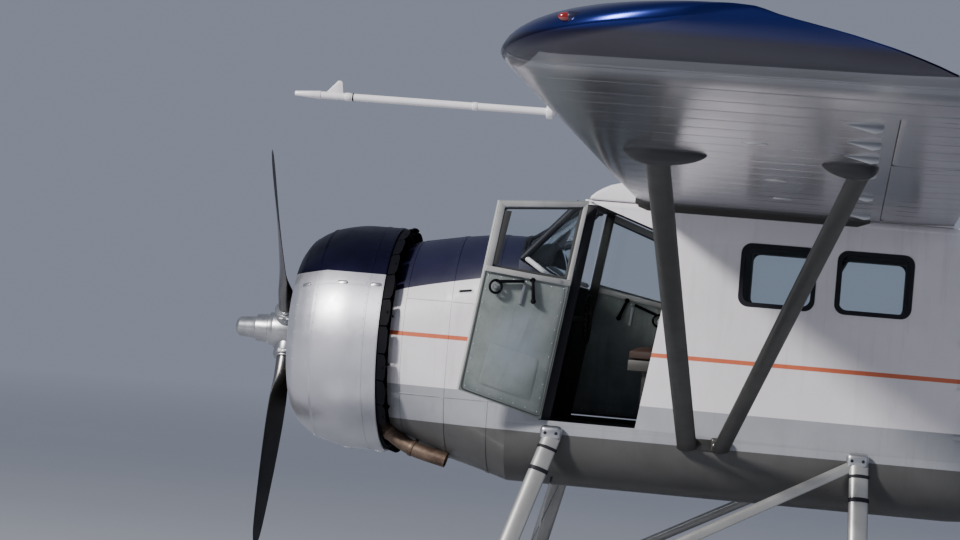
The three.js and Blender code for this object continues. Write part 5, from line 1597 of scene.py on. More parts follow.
        border = inset_line(lower, 0.012)
        screws = [(at(p.x, inside(0.003), p.y), (0, -sign, 0))
                  for i in range(4) for p in along_line((*border[i], 0), (*border[(i + 1) % 4], 0),
                                                        0.085)[:-1]]
        self.fit(rivet_rows(f"{body}_screws", screws, 0.0045, 0.002), swing, body, "aluminium", "bare_metal")

        dark = [
            torus(at(2.422, inside(0.030), 0.272), (0, 1, 0), 0.040, 0.008),
            bar(at(2.422, inside(0.0), 0.310), at(2.422, inside(0.030), 0.310), 0.009, sides=12),
            bar(at(2.402, inside(0.024), 0.312), at(2.249, inside(0.024), 0.366), 0.010, sides=14,
                bevel=0.003),
            bar(at(2.392, inside(0.0), 0.316), at(2.392, inside(0.026), 0.316), 0.008, sides=12),
            bar(at(2.258, inside(0.0), 0.363), at(2.258, inside(0.026), 0.363), 0.008, sides=12),
            bar(at(2.194, inside(0.018), 0.392), at(2.148, inside(0.022), 0.275), 0.009, 0.012, sides=12,
                bevel=0.003),
            bar(at(2.194, inside(0.0), 0.392), at(2.194, inside(0.022), 0.392), 0.016, sides=16, bevel=0.002),
            knob(at(2.146, inside(0.023), 0.268), 0.017, rings=8),
        ]
        self.fit(joined(dark, f"{body}_controls"), swing, body, "rubber", "black_paint")
        bright = [
            bar(at(2.422, inside(0.0), 0.272), at(2.422, inside(0.034), 0.272), 0.013, sides=18, bevel=0.002),
            prism([(2.226, 0.352), (2.246, 0.346), (2.232, 0.222), (2.212, 0.226)], inside(0.0),
                  inside(0.014), 0.003),
            bar(at(2.446, sign * 0.676, 0.150), at(2.446, sign * 0.700, 0.150), 0.013, sides=18, bevel=0.002),
            bar(at(2.453, sign * 0.698, 0.149), at(2.341, sign * 0.700, 0.158), 0.009, 0.007, sides=14,
                bevel=0.003),
            prism(rounded_corners([(2.410, 0.100), (2.470, 0.100), (2.477, 0.200), (2.417, 0.200)], 0.02),
                  sign * 0.679, sign * 0.683, 0.001),
        ]
        self.fit(joined(bright, f"{body}_latches"), swing, body, "aluminium", "bare_metal")

    def fit(self, piece, swing, body, slot, material):
        piece.data.transform(swing)
        smooth(piece, 38)
        dress(piece, body, slot, paint(material))

    def cabin_door(self, side, sign):
        body = f"cabin_door_{side}"
        leaf = carried(body, bevel=0.002)
        dress(leaf, body, "white_paint", paint("hull_paint"), paint("door_inner"),
              choose=lambda centre, normal: 1 if normal.y * sign < -0.3 else 0)
        dress(carried(f"{body}_glass"), body, "clear_panes", paint("clear_pane"))
        rim = window_rim(CABIN_DOOR_WINDOW, 0.045, 0.022, sign * 0.679, sign * 0.6835, overlap=0.004)
        inner_rim = window_rim(CABIN_DOOR_WINDOW, 0.045, 0.020, sign * 0.6505, sign * 0.6455, overlap=0.004)
        self.fit(joined([rim, inner_rim], f"{body}_window_rims"), Matrix.Identity(4), body, "rubber",
                 "frame_dark")
        front, rear, low, top = CABIN_DOOR
        panel = prism(rounded_corners(
            [(front + 0.05, low + 0.05), (rear - 0.05, low + 0.05), (rear - 0.05, 0.36),
             (front + 0.05, 0.36)], 0.05),
            sign * 0.651, sign * 0.6475, 0.001)
        self.fit(joined([panel], f"{body}_inner_skin"), Matrix.Identity(4), body, "white_paint", "door_inner")
        handle = [
            bar(at(5.075, sign * 0.676, 0.12), at(5.075, sign * 0.702, 0.12), 0.013, sides=18, bevel=0.002),
            bar(at(5.082, sign * 0.700, 0.12), at(4.965, sign * 0.702, 0.12), 0.009, 0.007, sides=14,
                bevel=0.003),
            prism(rounded_corners([(5.045, 0.075), (5.105, 0.075), (5.105, 0.165), (5.045, 0.165)], 0.02),
                  sign * 0.679, sign * 0.683, 0.001),
            bar(at(5.075, sign * 0.652, 0.12), at(5.075, sign * 0.628, 0.12), 0.011, sides=16, bevel=0.002),
            bar(at(5.080, sign * 0.630, 0.12), at(5.000, sign * 0.628, 0.12), 0.008, sides=14, bevel=0.003),
        ]
        self.fit(joined(handle, f"{body}_handles"), Matrix.Identity(4), body, "aluminium", "bare_metal")
        stop = slab(at(rear - 0.012, sign * 0.640, low - 0.01), at(rear + 0.025, sign * 0.648, top + 0.01))
        stop.name = f"cabin_door_stop_{side}"
        dress(stop, "airframe", "white_paint", paint("plain_white"))
        seats = [(at(x, sign * 0.680, z), (0, sign, 0)) for x, z in
                 [*[(front + 0.02, v) for v in even(low + 0.03, top - 0.03, 16)],
                  *[(rear - 0.02, v) for v in even(low + 0.03, top - 0.03, 16)],
                  *[(v, low + 0.02) for v in even(front + 0.07, rear - 0.07, 7)],
                  *[(v, top - 0.008) for v in even(front + 0.07, rear - 0.07, 7)]]]
        self.fit(rivet_rows(f"{body}_rivets", seats, sizes().rivet), Matrix.Identity(4), body, "white_paint",
                 "hull_paint")

    def side_windows(self, side, sign):
        rims = []
        for window in SIDE_WINDOWS:
            rims.append(window_rim(window, 0.05, 0.024, sign * 0.679, sign * 0.6835, overlap=0.005))
        settle(rims, f"side_window_rims_{side}", 38, "rubber", "frame_dark")
        dress(carried(f"side_glass_{side}"), "airframe", "clear_panes", paint("clear_pane"))
        seats = []
        for front, rear, low, top in SIDE_WINDOWS:
            line = rounded(front - 0.04, rear + 0.04, low - 0.04, top + 0.04, 0.07, 3)
            seats += [(at(x, sign * 0.680, z), (0, sign, 0)) for x, z in line]
            seats += [(at(x, sign * 0.680, z), (0, sign, 0)) for z in (low - 0.04, top + 0.04)
                      for x in even(front + 0.09, rear - 0.09, 4)]
        riveted(f"side_window_rivets_{side}", seats)


def cushion(low, high, crown, pinch, name):
    """A padded block: crowned faces, edges drawn in between the corners and a soft seam all round."""
    low, high = Vector(low), Vector(high)
    piece = slab(low, high, bevel=0)
    only(piece)
    bpy.ops.object.mode_set(mode="EDIT")
    bpy.ops.mesh.select_all(action="SELECT")
    bpy.ops.mesh.subdivide(number_cuts=15)
    bpy.ops.object.mode_set(mode="OBJECT")
    middle, half = (low + high) / 2, (high - low) / 2
    thin = min(range(3), key=lambda i: half[i])
    wide = [i for i in range(3) if i != thin]
    for vertex in piece.data.vertices:
        share = Vector([(vertex.co[i] - middle[i]) / half[i] for i in range(3)])
        a, b = share[wide[0]], share[wide[1]]
        dome = max(0.0, (1 - a ** 4) * (1 - b ** 4))
        belly = math.sqrt(max(0.0, 1 - share[thin] ** 2))
        place = vertex.co.copy()
        place[thin] = middle[thin] + half[thin] * share[thin] * (0.62 + 0.38 * math.sqrt(dome)) \
            + crown * dome * (1 if share[thin] > 0 else -0.15) * abs(share[thin])
        for axis, own, other in ((wide[0], a, b), (wide[1], b, a)):
            drawn_in = 1 - pinch * (1 - abs(other) ** 3) * abs(own) ** 3
            place[axis] = middle[axis] + half[axis] * own * drawn_in * (0.972 + 0.028 * belly)
        vertex.co = place
    piece.name = name
    return smooth(outward(piece), 60)


BACK_LEAN = math.radians(10)
SEAT_Y = 0.32
BENCH_PLACES = (-0.375, 0.0, 0.375)
PANEL_FACE = 1.650


def leather_pad(low, high, crown, pinch, name, hinge=None, shift=0.0):
    """A leather cushion, leaned back about a hinge line where one is given."""
    pad = cushion(low, high, crown, pinch, name)
    if hinge:
        pad.data.transform(turned_about(hinge, BACK_LEAN, "Y"))
    if shift:
        pad.data.transform(Matrix.Translation((shift, 0, 0)))
    dress(pad, "airframe", "seat_cover", paint("leather"))


class MakeCabinFittings(bpy.types.Operator):
    """Instrument panel and controls, seats, bench and belts."""

    bl_idname = "floatplane.cabin"
    bl_label = "Cabin fittings"
    bl_options = {"REGISTER", "UNDO"}

    def execute(self, context):
        self.panel()
        self.wheel()
        for side, sign in SIDES:
            self.seat(side, sign)
        self.bench()
        self.floor()
        return {"FINISHED"}

    def panel(self):
        dress(carried("instrument_panel", bevel=0.002), "airframe", "interior", paint("panel_black"))
        rows = []
        for y in even(-0.50, 0.50, 21):
            crown = 0.555 + 0.160 * (1 - (y / 0.56) ** 2)
            rows.append([at(1.612, y, crown), at(1.70, y, crown + 0.004), at(1.775, y, crown - 0.012),
                         at(1.786, y, crown - 0.030), at(1.776, y, crown - 0.026), at(1.70, y, crown - 0.010),
                         at(1.612, y, crown - 0.014)])
        settle([skin(rows)], "glare_shield", 45, "interior", "panel_black")
        rims, faces, hands = [], [], []
        spots = [(-0.40, 0.34, 0.040), (-0.30, 0.40, 0.040), (-0.20, 0.40, 0.040), (-0.10, 0.40, 0.040),
                 (-0.30, 0.295, 0.040), (-0.20, 0.295, 0.040), (-0.10, 0.295, 0.040), (0.03, 0.40, 0.029),
                 (0.11, 0.40, 0.029), (0.19, 0.40, 0.029), (0.27, 0.40, 0.029), (0.35, 0.37, 0.029),
                 (0.07, 0.31, 0.029), (0.15, 0.31, 0.029), (0.23, 0.31, 0.029), (0.31, 0.29, 0.029)]
        for i, (y, z, r) in enumerate(spots):
            centre = at(PANEL_FACE, y, z)
            rims.append(torus(centre + Vector((0.003, 0, 0)), (1, 0, 0), r, 0.0035, 28))
            faces.append(bar(centre, centre + Vector((0.002, 0, 0)), r - 0.001, sides=28))
            for turn, reach in ((0.7 + 1.9 * i, 0.72), (2.4 + 1.3 * i, 0.5)):
                tip = Vector((0.003, r * reach * math.sin(turn), r * reach * math.cos(turn)))
                hands.append(bar(centre + Vector((0.003, 0, 0)), centre + tip, 0.0018, 0.0008, sides=6))
            for k in range(8):
                turn = math.radians(225 - 38.6 * k)
                out = Vector((0, math.cos(turn), math.sin(turn)))
                proud = Vector((0.0022, 0, 0))
                hands.append(bar(centre + out * r * 0.80 + proud, centre + out * r * 0.95 + proud, 0.0011,
                                 sides=4))
        settle(rims, "instrument_rims", 50, "interior", "bare_metal")
        settle(faces, "instrument_faces", None, "interior", "black_paint")
        settle(hands, "instrument_marks", None, "interior", "door_frame")
        levers = []
        for i, y in enumerate((-0.045, 0.0, 0.045)):
            levers.append(bar(at(1.640, y, 0.20), at(1.735, y, 0.255), 0.006, sides=12))
            levers.append(knob(at(1.742, y, 0.260), 0.019, (1, 0.8, 1), 8))
        for y in (-0.48, -0.44, 0.44, 0.48):
            levers.append(bar(at(1.648, y, 0.16), at(1.672, y, 0.16), 0.005, sides=10))
        for sign in (-1, 1):
            for y in (0.22, 0.42):
                levers.append(bar(at(1.700, sign * y, -0.44), at(1.735, sign * y, -0.33), 0.011, sides=12))
                levers.append(slab(at(1.726, sign * y - 0.050, -0.345), at(1.750, sign * y + 0.050, -0.270),
                                   0.006))
        settle(levers, "levers_and_pedals", 40, "interior", "black_paint")

    def wheel(self):
        x, y, z = 2.030, -SEAT_Y, 0.240
        parts = [torus(at(x, y, z), (1, 0, 0), 0.150, 0.0135, 56),
                 bar(at(1.655, y, z), at(2.028, y, z), 0.015, sides=24),
                 bar(at(2.015, y, z), at(2.045, y, z), 0.036, sides=32, bevel=0.005),
                 bar(at(x, y - 0.14, z), at(x, y + 0.14, z), 0.0105, sides=16),
                 bar(at(x, y, z), at(x, y, 0.100), 0.0105, sides=16)]
        settle(parts, "control_wheel", 45, "interior", "black_paint")

    def seat(self, side, sign):
        y = sign * SEAT_Y
        dress(carried(f"seat_{side}", bevel=0.012), "airframe", "seat_cover", paint("seat_shell"))
        leather_pad(at(2.335, y - 0.215, 0.004), at(2.775, y + 0.215, 0.082), 0.020, 0.035,
                    f"seat_{side}_cushion")
        leather_pad(at(2.693, y - 0.205, 0.088), at(2.765, y + 0.205, 0.550), 0.020, 0.035,
                    f"seat_{side}_back", hinge=at(2.765, y, 0.088))
        belts = []
        for way in (-1, 1):
            rows = []
            for x, across, z in ((2.790, 0.150, 0.10), (2.740, 0.145, 0.128), (2.66, 0.11, 0.125),
                                 (2.60, 0.03, 0.119)):
                centre = at(x, y + way * across, z)
                rows.append([centre + Vector(d) for d in (
                    (-0.023, 0, -0.001), (-0.023, 0, 0.0015), (0.023, 0, 0.0015), (0.023, 0, -0.001))])
            belts.append(skin(rows))
        settle(belts, f"seat_{side}_belt", 40, "seat_cover", "belt_webbing")
        buckle = [slab(at(2.572, y - 0.030, 0.114), at(2.628, y + 0.030, 0.126), 0.004)]
        settle(buckle, f"seat_{side}_buckle", 40, "aluminium", "bare_metal")

    def bench(self):
        dress(carried("cabin_bench", bevel=0.012), "airframe", "seat_cover", paint("seat_shell"))
        for i, y in enumerate(BENCH_PLACES, 1):
            leather_pad(at(3.545, y - 0.184, -0.026), at(3.955, y + 0.184, 0.058), 0.018, 0.03,
                        f"bench_cushion_{i}")
            leather_pad(at(3.925, y - 0.184, 0.055), at(4.005, y + 0.184, 0.425), 0.016, 0.03,
                        f"bench_back_{i}", hinge=at(3.985, y, 0.055), shift=-0.038)

    def floor(self):
        boards = []
        for y in even(-0.48, 0.48, 7):
            boards.append(slab(at(1.75, y - 0.072, -0.4495), at(5.45, y + 0.072, -0.444), 0.0015))
        settle(boards, "floor_boards", 40, "interior", "cabin_floor")


# Blade stations: radius, chord, thickness, pitch in degrees
BLADE_ROWS = [
    (0.160, 0.118, 0.112, 30.0), (0.330, 0.120, 0.096, 28.0), (0.480, 0.185, 0.048, 24.0),
    (0.700, 0.215, 0.032, 19.0), (0.980, 0.210, 0.022, 14.5), (1.240, 0.180, 0.016, 11.0),
    (1.400, 0.135, 0.012, 9.5), (1.480, 0.060, 0.008, 9.0),
]
FIRST_BLADE = math.radians(40.5)
CYLINDERS = 9


def radial_places(count, start=0.0, x=0.0):
    """Matrices that stand a pattern drawn along +Z on spokes round the thrust line."""
    return [Matrix.Translation(at(x, 0, 0)) @ Matrix.Rotation(start + 2 * math.pi * i / count, 4, "X")
            for i in range(count)]


def lathe(profile, segments=32):
    """A shape turned about +Z: the profile holds (height, radius)."""
    return skin([[Vector((r * math.cos(2 * math.pi * i / segments),
                          r * math.sin(2 * math.pi * i / segments), h))
                  for i in range(segments)] for h, r in profile])


def finned(low, high, root, tip, fins, centre_x, segments=28):
    """A barrel with thin cooling fins, along +Z."""
    pitch = (high - low) / fins
    profile = [(low, root)]
    for i in range(fins):
        start = low + i * pitch
        profile += [(start + pitch * 0.45, root), (start + pitch * 0.55, tip), (start + pitch * 0.8, tip),
                    (start + pitch * 0.9, root)]
    piece = lathe([*profile, (high, root)], segments)
    piece.data.transform(Matrix.Translation((centre_x, 0, 0)))
    return piece


class MakeEngine(bpy.types.Operator):
    """The nine-cylinder radial engine inside the cowling."""

    bl_idname = "floatplane.engine"
    bl_label = "Engine"
    bl_options = {"REGISTER", "UNDO"}

    def execute(self, context):
        case = turned([(0.0997, 0.0), (0.0997, 0.088), (0.106, 0.094), (0.140, 0.118), (0.150, 0.150),
                       (0.172, 0.192), (0.182, 0.206), (0.196, 0.206), (0.199, 0.198), (0.222, 0.226),
                       (0.245, 0.246), (0.300, 0.250), (0.560, 0.250), (0.610, 0.312), (0.630, 0.330),
                       (0.7997, 0.330), (0.7997, 0.0)], 72)
        extras = [bar(at(0.350, 0, -0.235), at(0.350, 0, -0.450), 0.034, sides=24, bevel=0.006),
                  bar(at(0.150, 0, 0.150), at(0.150, 0, 0.235), 0.030, sides=20, bevel=0.006),
                  bar(at(0.150, 0, 0.230), at(0.150, 0, 0.262), 0.040, sides=20, bevel=0.006)]
        case = smooth(joined([case, *extras], "engine_case"), 38)
        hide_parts("engine")
        dress(case, "airframe", "dark_metal", paint("engine_grey"))
        seats = []
        for x, r, count in ((0.196, 0.199, 27), (0.1495, 0.136, 18)):
            for i in range(count):
                turn = 2 * math.pi * i / count
                seats.append((at(x - 0.016, r * math.sin(turn), r * math.cos(turn)), (-1, 0, 0)))
        dress(rivet_rows("engine_case_nuts", seats, 0.0075, 0.012), "airframe", "dark_metal",
              paint("bare_metal"))
        self.cylinders()
        baffle = outward(turned([(0.512, 0.245), (0.512, 0.655), (0.518, 0.655), (0.518, 0.245)], 96,
                                closed=True))
        settle([baffle], "engine_baffles", 30, "dark_metal", "black_paint")
        harness = torus(at(0.232, 0, 0), (1, 0, 0), 0.300, 0.011, 96)
        settle([harness], "ignition_ring", None, "dark_metal", "brass")
        collector = torus(at(0.590, 0, 0), (1, 0, 0), 0.560, 0.036, 96)
        link = swept(curve_through([at(*p) for p in (
            (0.600, -0.235, -0.500), (0.650, -0.252, -0.512), (0.720, -0.276, -0.536))], 6), 0.046, 20)
        settle([collector, link], "exhaust_collector", 50, "dark_metal", "exhaust_steel")
        return {"FINISHED"}

    def around(self, pattern, name, degrees, material):
        """One copy of the pattern on each cylinder's spoke."""
        piece = smooth(repeated(pattern, radial_places(CYLINDERS), name), degrees)
        return dress(piece, "airframe", "dark_metal", paint(material))

    def cylinders(self):
        barrel = joined([
            finned(0.235, 0.462, 0.066, 0.078, 13, 0.39), finned(0.462, 0.600, 0.094, 0.108, 9, 0.39),
            finned(0.598, 0.640, 0.050, 0.060, 3, 0.39),
        ], "barrel")
        self.around(barrel, "engine_cylinders", 30, "cylinder_steel")
        boxes = [slab((0.262, -0.034, 0.560), (0.338, 0.034, 0.617), 0.012, 3),
                 slab((0.442, -0.034, 0.560), (0.520, 0.034, 0.645), 0.012, 3),
                 slab((0.256, -0.038, 0.600), (0.344, 0.038, 0.608), 0.003),
                 slab((0.436, -0.038, 0.622), (0.526, 0.038, 0.630), 0.003),
                 bar((0.252, -0.030, 0.215), (0.290, -0.022, 0.568), 0.0105, sides=12),
                 bar((0.252, 0.030, 0.215), (0.290, 0.022, 0.568), 0.0105, sides=12),
                 bar((0.247, -0.031, 0.228), (0.254, -0.030, 0.262), 0.018, sides=12, bevel=0.003),
                 bar((0.247, 0.031, 0.228), (0.254, 0.030, 0.262), 0.018, sides=12, bevel=0.003)]
        self.around(joined(boxes, "boxes"), "rocker_boxes", 35, "engine_grey")
        intake = swept(curve_through([(0.590, 0.062, 0.300), (0.575, 0.064, 0.420), (0.530, 0.058, 0.520),
                                      (0.480, 0.045, 0.560)], 5), 0.024, 14)
        self.around(intake, "intake_pipes", 50, "black_paint")
        stub = swept(curve_through([(0.450, -0.050, 0.545), (0.505, -0.060, 0.575), (0.560, -0.050, 0.575),
                                    (0.595, -0.030, 0.560)], 5), 0.027, 14)
        self.around(stub, "exhaust_stubs", 50, "exhaust_steel")
        lead = joined([
            swept(curve_through([(0.232, 0.020, 0.300), (0.238, 0.050, 0.400), (0.270, 0.078, 0.520),
                                 (0.315, 0.082, 0.560)], 5), 0.005, 8),
            bar((0.310, 0.082, 0.556), (0.345, 0.070, 0.566), 0.012, 0.009, sides=10),
        ], "lead")
        self.around(lead, "ignition_leads", 50, "brass")


class MakePropeller(bpy.types.Operator):
    """Three blades, their clamps and the hub."""

    bl_idname = "floatplane.propeller"
    bl_label = "Propeller"
    bl_options = {"REGISTER", "UNDO"}

    def execute(self, context):
        hub = turned([(-0.352, 0.0), (-0.352, 0.026), (-0.349, 0.038), (-0.343, 0.049), (-0.334, 0.058),
                      (-0.324, 0.064), (-0.218, 0.074), (-0.212, 0.078), (-0.208, 0.090), (-0.132, 0.096),
                      (-0.125, 0.098), (-0.120, 0.108), (-0.094, 0.112), (-0.088, 0.116), (-0.084, 0.130),
                      (-0.076, 0.132), (0.080, 0.132), (0.0915, 0.128), (0.0915, 0.070), (0.0995, 0.070),
                      (0.0995, 0.0)], 64)
        spokes = radial_places(3, FIRST_BLADE)
        boss = joined([
            bar((0.008, 0, 0), (0.008, 0, 0.158), 0.080, sides=36, bevel=0.004),
            bar((0.008, 0, 0.156), (0.008, 0, 0.188), 0.0835, sides=36, bevel=0.004),
            bar((0.008, 0, 0.186), (0.008, 0, 0.200), 0.076, sides=36, bevel=0.003),
            *[bar((0.008 + sx, sy * 0.088, 0.172), (0.008 + sx + 0.022, sy * 0.088, 0.172), 0.009, sides=6)
              for sx in (-0.034, 0.012) for sy in (-1, 1)],
            slab((-0.028, 0.066, 0.158), (0.044, 0.090, 0.186), 0.004),
            slab((-0.028, -0.090, 0.158), (0.044, -0.066, 0.186), 0.004),
        ], "boss")
        bosses = repeated(boss, spokes, "bosses")
        dome_bolts = [(at(-0.1195, 0.1035 * math.sin(t), 0.1035 * math.cos(t)), (-1, 0, 0))
                      for t in (2 * math.pi * i / 12 for i in range(12))]
        bolts = rivet_rows("bolts", dome_bolts, 0.006, 0.010)
        piece = smooth(joined([hub, bosses, bolts], "propeller_hub"), 35)
        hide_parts("propeller")
        dress(piece, "propeller", "dark_metal", paint("hub_metal"))
        blades = smooth(repeated(self.blade(), spokes, "propeller_blades"), 45)
        dress(blades, "propeller", "dark_metal", paint("blade_front"), paint("blade_rear"),
              choose=lambda centre, normal: 1 if normal.x > 0.15 and math.hypot(
                  centre.y, centre.z - THRUST_LINE_HEIGHT) > 0.30 else 0)
        return {"FINISHED"}

    def blade(self):
        sizes_along = curve_through([row[:3] for row in BLADE_ROWS], 5)
        twists = curve_through([(row[0], row[3], 0) for row in BLADE_ROWS], 5)
        rings = []
        for (radius, chord, thick), twist in zip(sizes_along, twists):
            pitch = math.radians(twist.y)
            flat = min(1.0, max(0.0, (radius - 0.33) / 0.2))
            ring = []
            for k in range(30):
                turn = 2 * math.pi * k / 30
                along = chord / 2 * math.cos(turn)
                across = thick / 2 * math.sin(turn)
                if across > 0:
                    across *= 1 - 0.6 * flat
                ring.append(Vector((across * math.cos(pitch) - along * math.sin(pitch) + 0.008,
                                    along * math.cos(pitch) + across * math.sin(pitch), radius)))
            rings.append(ring)
        return skin(rings)


# Edges of the tail: distance from the middle, x. Section: share of the chord, half thickness
TAILPLANE_Z = 0.395
TAILPLANE_FRONT = [(0.0, 7.96), (1.9, 8.16), (2.35, 8.33), (2.48, 8.56)]
TAILPLANE_REAR = 8.824
TAILPLANE_SECTION = [(0.0, 0.002), (0.012, 0.011), (0.04, 0.022), (0.1, 0.035), (0.2, 0.044), (0.38, 0.050),
                     (0.55, 0.050), (0.8, 0.046), (1.0, 0.040)]
ELEVATOR_REAR = [(0.33, 9.28), (0.70, 9.40), (1.8, 9.33), (2.25, 9.18), (2.432, 8.96)]
ELEVATOR_FRONT = 8.915
RUDDER_FRONT = 9.105
# Fin and rudder: height, x of the front edge, x of the rear edge
FIN_TABLE = [(0.38, 7.96, 9.58), (0.47, 8.02, 9.60), (0.70, 8.21, 9.64), (1.05, 8.44, 9.65),
             (1.40, 8.64, 9.62), (1.70, 8.82, 9.50), (1.84, 8.93, 9.33)]


class MakeTail(bpy.types.Operator):
    """Tailplane, elevator, fin and rudder with their ribs, hinges and lamp."""

    bl_idname = "floatplane.tail"
    bl_label = "Tail"
    bl_options = {"REGISTER", "UNDO"}

    def execute(self, context):
        dress(carried("tailplane", bevel=0.004), "airframe", "silver_dope", paint("tail_dope"))
        dress(carried("elevator", bevel=0.002), "elevator", "silver_dope", paint("tail_dope"))
        dress(carried("fin", bevel=0.004), "airframe", "white_paint", paint("fin_paint"))
        dress(carried("rudder", bevel=0.002), "rudder", "white_paint", paint("fin_paint"))
        self.tailplane_tapes()
        self.upright_tapes()
        self.fittings()
        return {"FINISHED"}

    def tailplane_tapes(self):
        def fixed_spot(across, spot, high):
            y, share, side = spot
            front = between_rows(TAILPLANE_FRONT, abs(y + across))[1]
            half = between_rows(TAILPLANE_SECTION, share)[1]
            return at(front + share * (TAILPLANE_REAR - front) - (high if share < 0.005 else 0), y + across,
                      TAILPLANE_Z + side * (half + high))

        def moving_spot(across, spot, high):
            y, share, side = spot
            rear = between_rows(ELEVATOR_REAR, abs(y + across))[1]
            half = 0.0295 - (0.0295 - 0.010) * share
            return at(ELEVATOR_FRONT + share * (rear - 0.045 - ELEVATOR_FRONT), y + across,
                      TAILPLANE_Z + side * (half + high))

        fixed, moving = [], []
        for y in even(0.42, 2.25, 7):
            for sign in (-1, 1):
                shares = [0.97, 0.8, 0.55, 0.38, 0.2, 0.1, 0.04, 0.012]
                path = [(sign * y, s, 1) for s in shares] + [(sign * y, 0.0, 0)] \
                    + [(sign * y, s, -1) for s in reversed(shares)]
                fixed.append(tape_over(fixed_spot, path, 0.032))
                for side in (1, -1):
                    moving.append(tape_over(moving_spot,
                                            [(sign * y, s, side) for s in (0.0, 0.33, 0.66, 1.0)], 0.032))
        settle(fixed, "tailplane_tapes", 40, "silver_dope", "tail_dope")
        settle(moving, "elevator_tapes", 40, "silver_dope", "tail_dope", "elevator")

    def upright_tapes(self):
        def rudder_spot(across, spot, high):
            z, share, side = spot
            rear = between_rows([(row[0], row[2]) for row in FIN_TABLE], z)[1]
            half = 0.0352 - (0.0352 - 0.009) * share
            return at(RUDDER_FRONT + share * (rear - 0.065 - RUDDER_FRONT), side * (half + high), z + across)

        pieces = [tape_over(rudder_spot, [(z, s, side) for s in (0.0, 0.33, 0.66, 1.0)], 0.030)
                  for z in (0.55, 0.85, 1.15, 1.45, 1.70) for side in (-1, 1)]
        settle(pieces, "rudder_tapes", 40, "white_paint", "fin_paint", "rudder")

    def fittings(self):
        brackets = []
        for z in (0.75, 1.25, 1.65):
            for sign in (-1, 1):
                brackets.append(slab(at(8.930, sign * 0.036, z - 0.012),
                                     at(9.004, sign * 0.0425, z + 0.012), 0.002))
        for y in (0.9, 1.6, 2.2):
            for sign in (-1, 1):
                for up in (-1, 1):
                    brackets.append(slab(at(8.755, sign * (y + 0.10) - 0.012, TAILPLANE_Z + up * 0.040),
                                         at(8.822, sign * (y + 0.10) + 0.012, TAILPLANE_Z + up * 0.0435),
                                         0.001))
        for sign in (-1, 1):
            brackets.append(slab(at(8.270, sign * 0.128, -0.150), at(8.345, sign * 0.150, -0.085), 0.008, 3))
            brackets.append(slab(at(8.465, sign * 1.470, 0.345), at(8.545, sign * 1.535, 0.353), 0.003))
        settle(brackets, "tail_brackets", 38, "aluminium", "bare_metal")
        horn = [prism([(9.075, 0.050), (9.100, 0.050), (9.095, 0.085), (9.075, 0.090)], -0.16, 0.16, 0.004)]
        horn += [bar(at(9.088, sign * 0.140, 0.050), at(9.088, sign * 0.140, 0.092), 0.006, sides=12)
                 for sign in (-1, 1)]
        settle(horn, "rudder_horn", 38, "aluminium", "bare_metal", "rudder")
        lamp = knob(at(9.624, 0, 0.935), 0.021, (1.2, 0.8, 1.0), 12)
        dress(kept(lamp, "tail_lamp_lens", 60), "rudder", "white_paint", paint("tail_lamp"))
        aerial = swept([at(7.15, 0, 0.690), at(7.20, 0, 0.90), at(7.235, 0, 1.07)], 0.005, 10)
        foot = bar(at(7.15, 0, 0.680), at(7.153, 0, 0.712), 0.024, 0.014, sides=24, bevel=0.003)
        settle([aerial, foot], "whip_aerial", 40, "dark_metal", "black_paint")


# Float stations ahead of the step and behind it: x, half width, then keel, chine and deck above the keel line
FOREBODY = [
    (-0.60, 0.060, 0.500, 0.570, 0.690), (-0.38, 0.230, 0.290, 0.450, 0.755),
    (0.02, 0.365, 0.105, 0.325, 0.785), (0.60, 0.440, 0.0, 0.245, 0.785), (1.60, 0.475, 0.0, 0.205, 0.765),
    (3.45, 0.475, 0.0, 0.190, 0.725),
]
AFTERBODY = [(3.449, 0.474, 0.090, 0.245, 0.725), (5.20, 0.360, 0.260, 0.385, 0.665),
             (6.60, 0.140, 0.420, 0.480, 0.620)]
KEEL_Z = -2.55
STEP_X = 3.45
WATER_RUDDER_AXIS = 6.655
STRUT_FEET = {"front": 1.56, "rear": 3.90}


def smooth_rows(rows, steps=6):
    """More rows of a table, on a smooth line through its rows."""
    columns = [[p.y for p in curve_through([(i, row[k], 0) for i, row in enumerate(rows)], steps)]
               for k in range(len(rows[0]))]
    return [tuple(row) for row in zip(*columns)]


FOREBODY_ROWS = [(x, half, max(0.0, keel), chine, deck)
                 for x, half, keel, chine, deck in smooth_rows(FOREBODY)]
AFTERBODY_ROWS = smooth_rows(AFTERBODY, 8)


def float_row(x):
    return between_rows(FOREBODY_ROWS if x < STEP_X - 0.0005 else AFTERBODY_ROWS, x)


def deck_edge(half):
    """Radius of a float's rounded deck edge."""
    return min(0.085, half * 0.4)


def deck_height(x, across=0.0):
    """Height of a float's deck above the airframe's datum at x."""
    half, deck = float_row(x)[1], float_row(x)[4]
    flat = half - deck_edge(half)
    return KEEL_Z + deck + 0.012 * max(0.0, 1 - (abs(across) / flat) ** 2)


def float_ring(row, middle, grow=0.0):
    """A float's section: keel, chine, upright side, rounded deck edge and crowned deck."""
    x, half, keel, chine, deck = row
    half += grow
    deck += grow
    keel = max(keel - grow, 0.0)
    edge = deck_edge(half)
    right = [(0.020, keel), (0.020 + (half - 0.020) * 0.5, keel + (chine - keel) * 0.5 - 0.004),
             (half, chine)]
    right += [(half, chine + (deck - edge - chine) * share) for share in (0.04, 0.5)]
    right += [(half - edge + edge * math.cos(turn), deck - edge + edge * math.sin(turn))
              for turn in (math.pi / 2 * i / 5 for i in range(6))]
    right.append(((half - edge) * 0.5, deck + 0.009))
    outline = right + [(0.0, deck + 0.012)] + [(-a, b) for a, b in reversed(right)]
    return [at(x, middle + across, KEEL_Z + up) for across, up in outline]


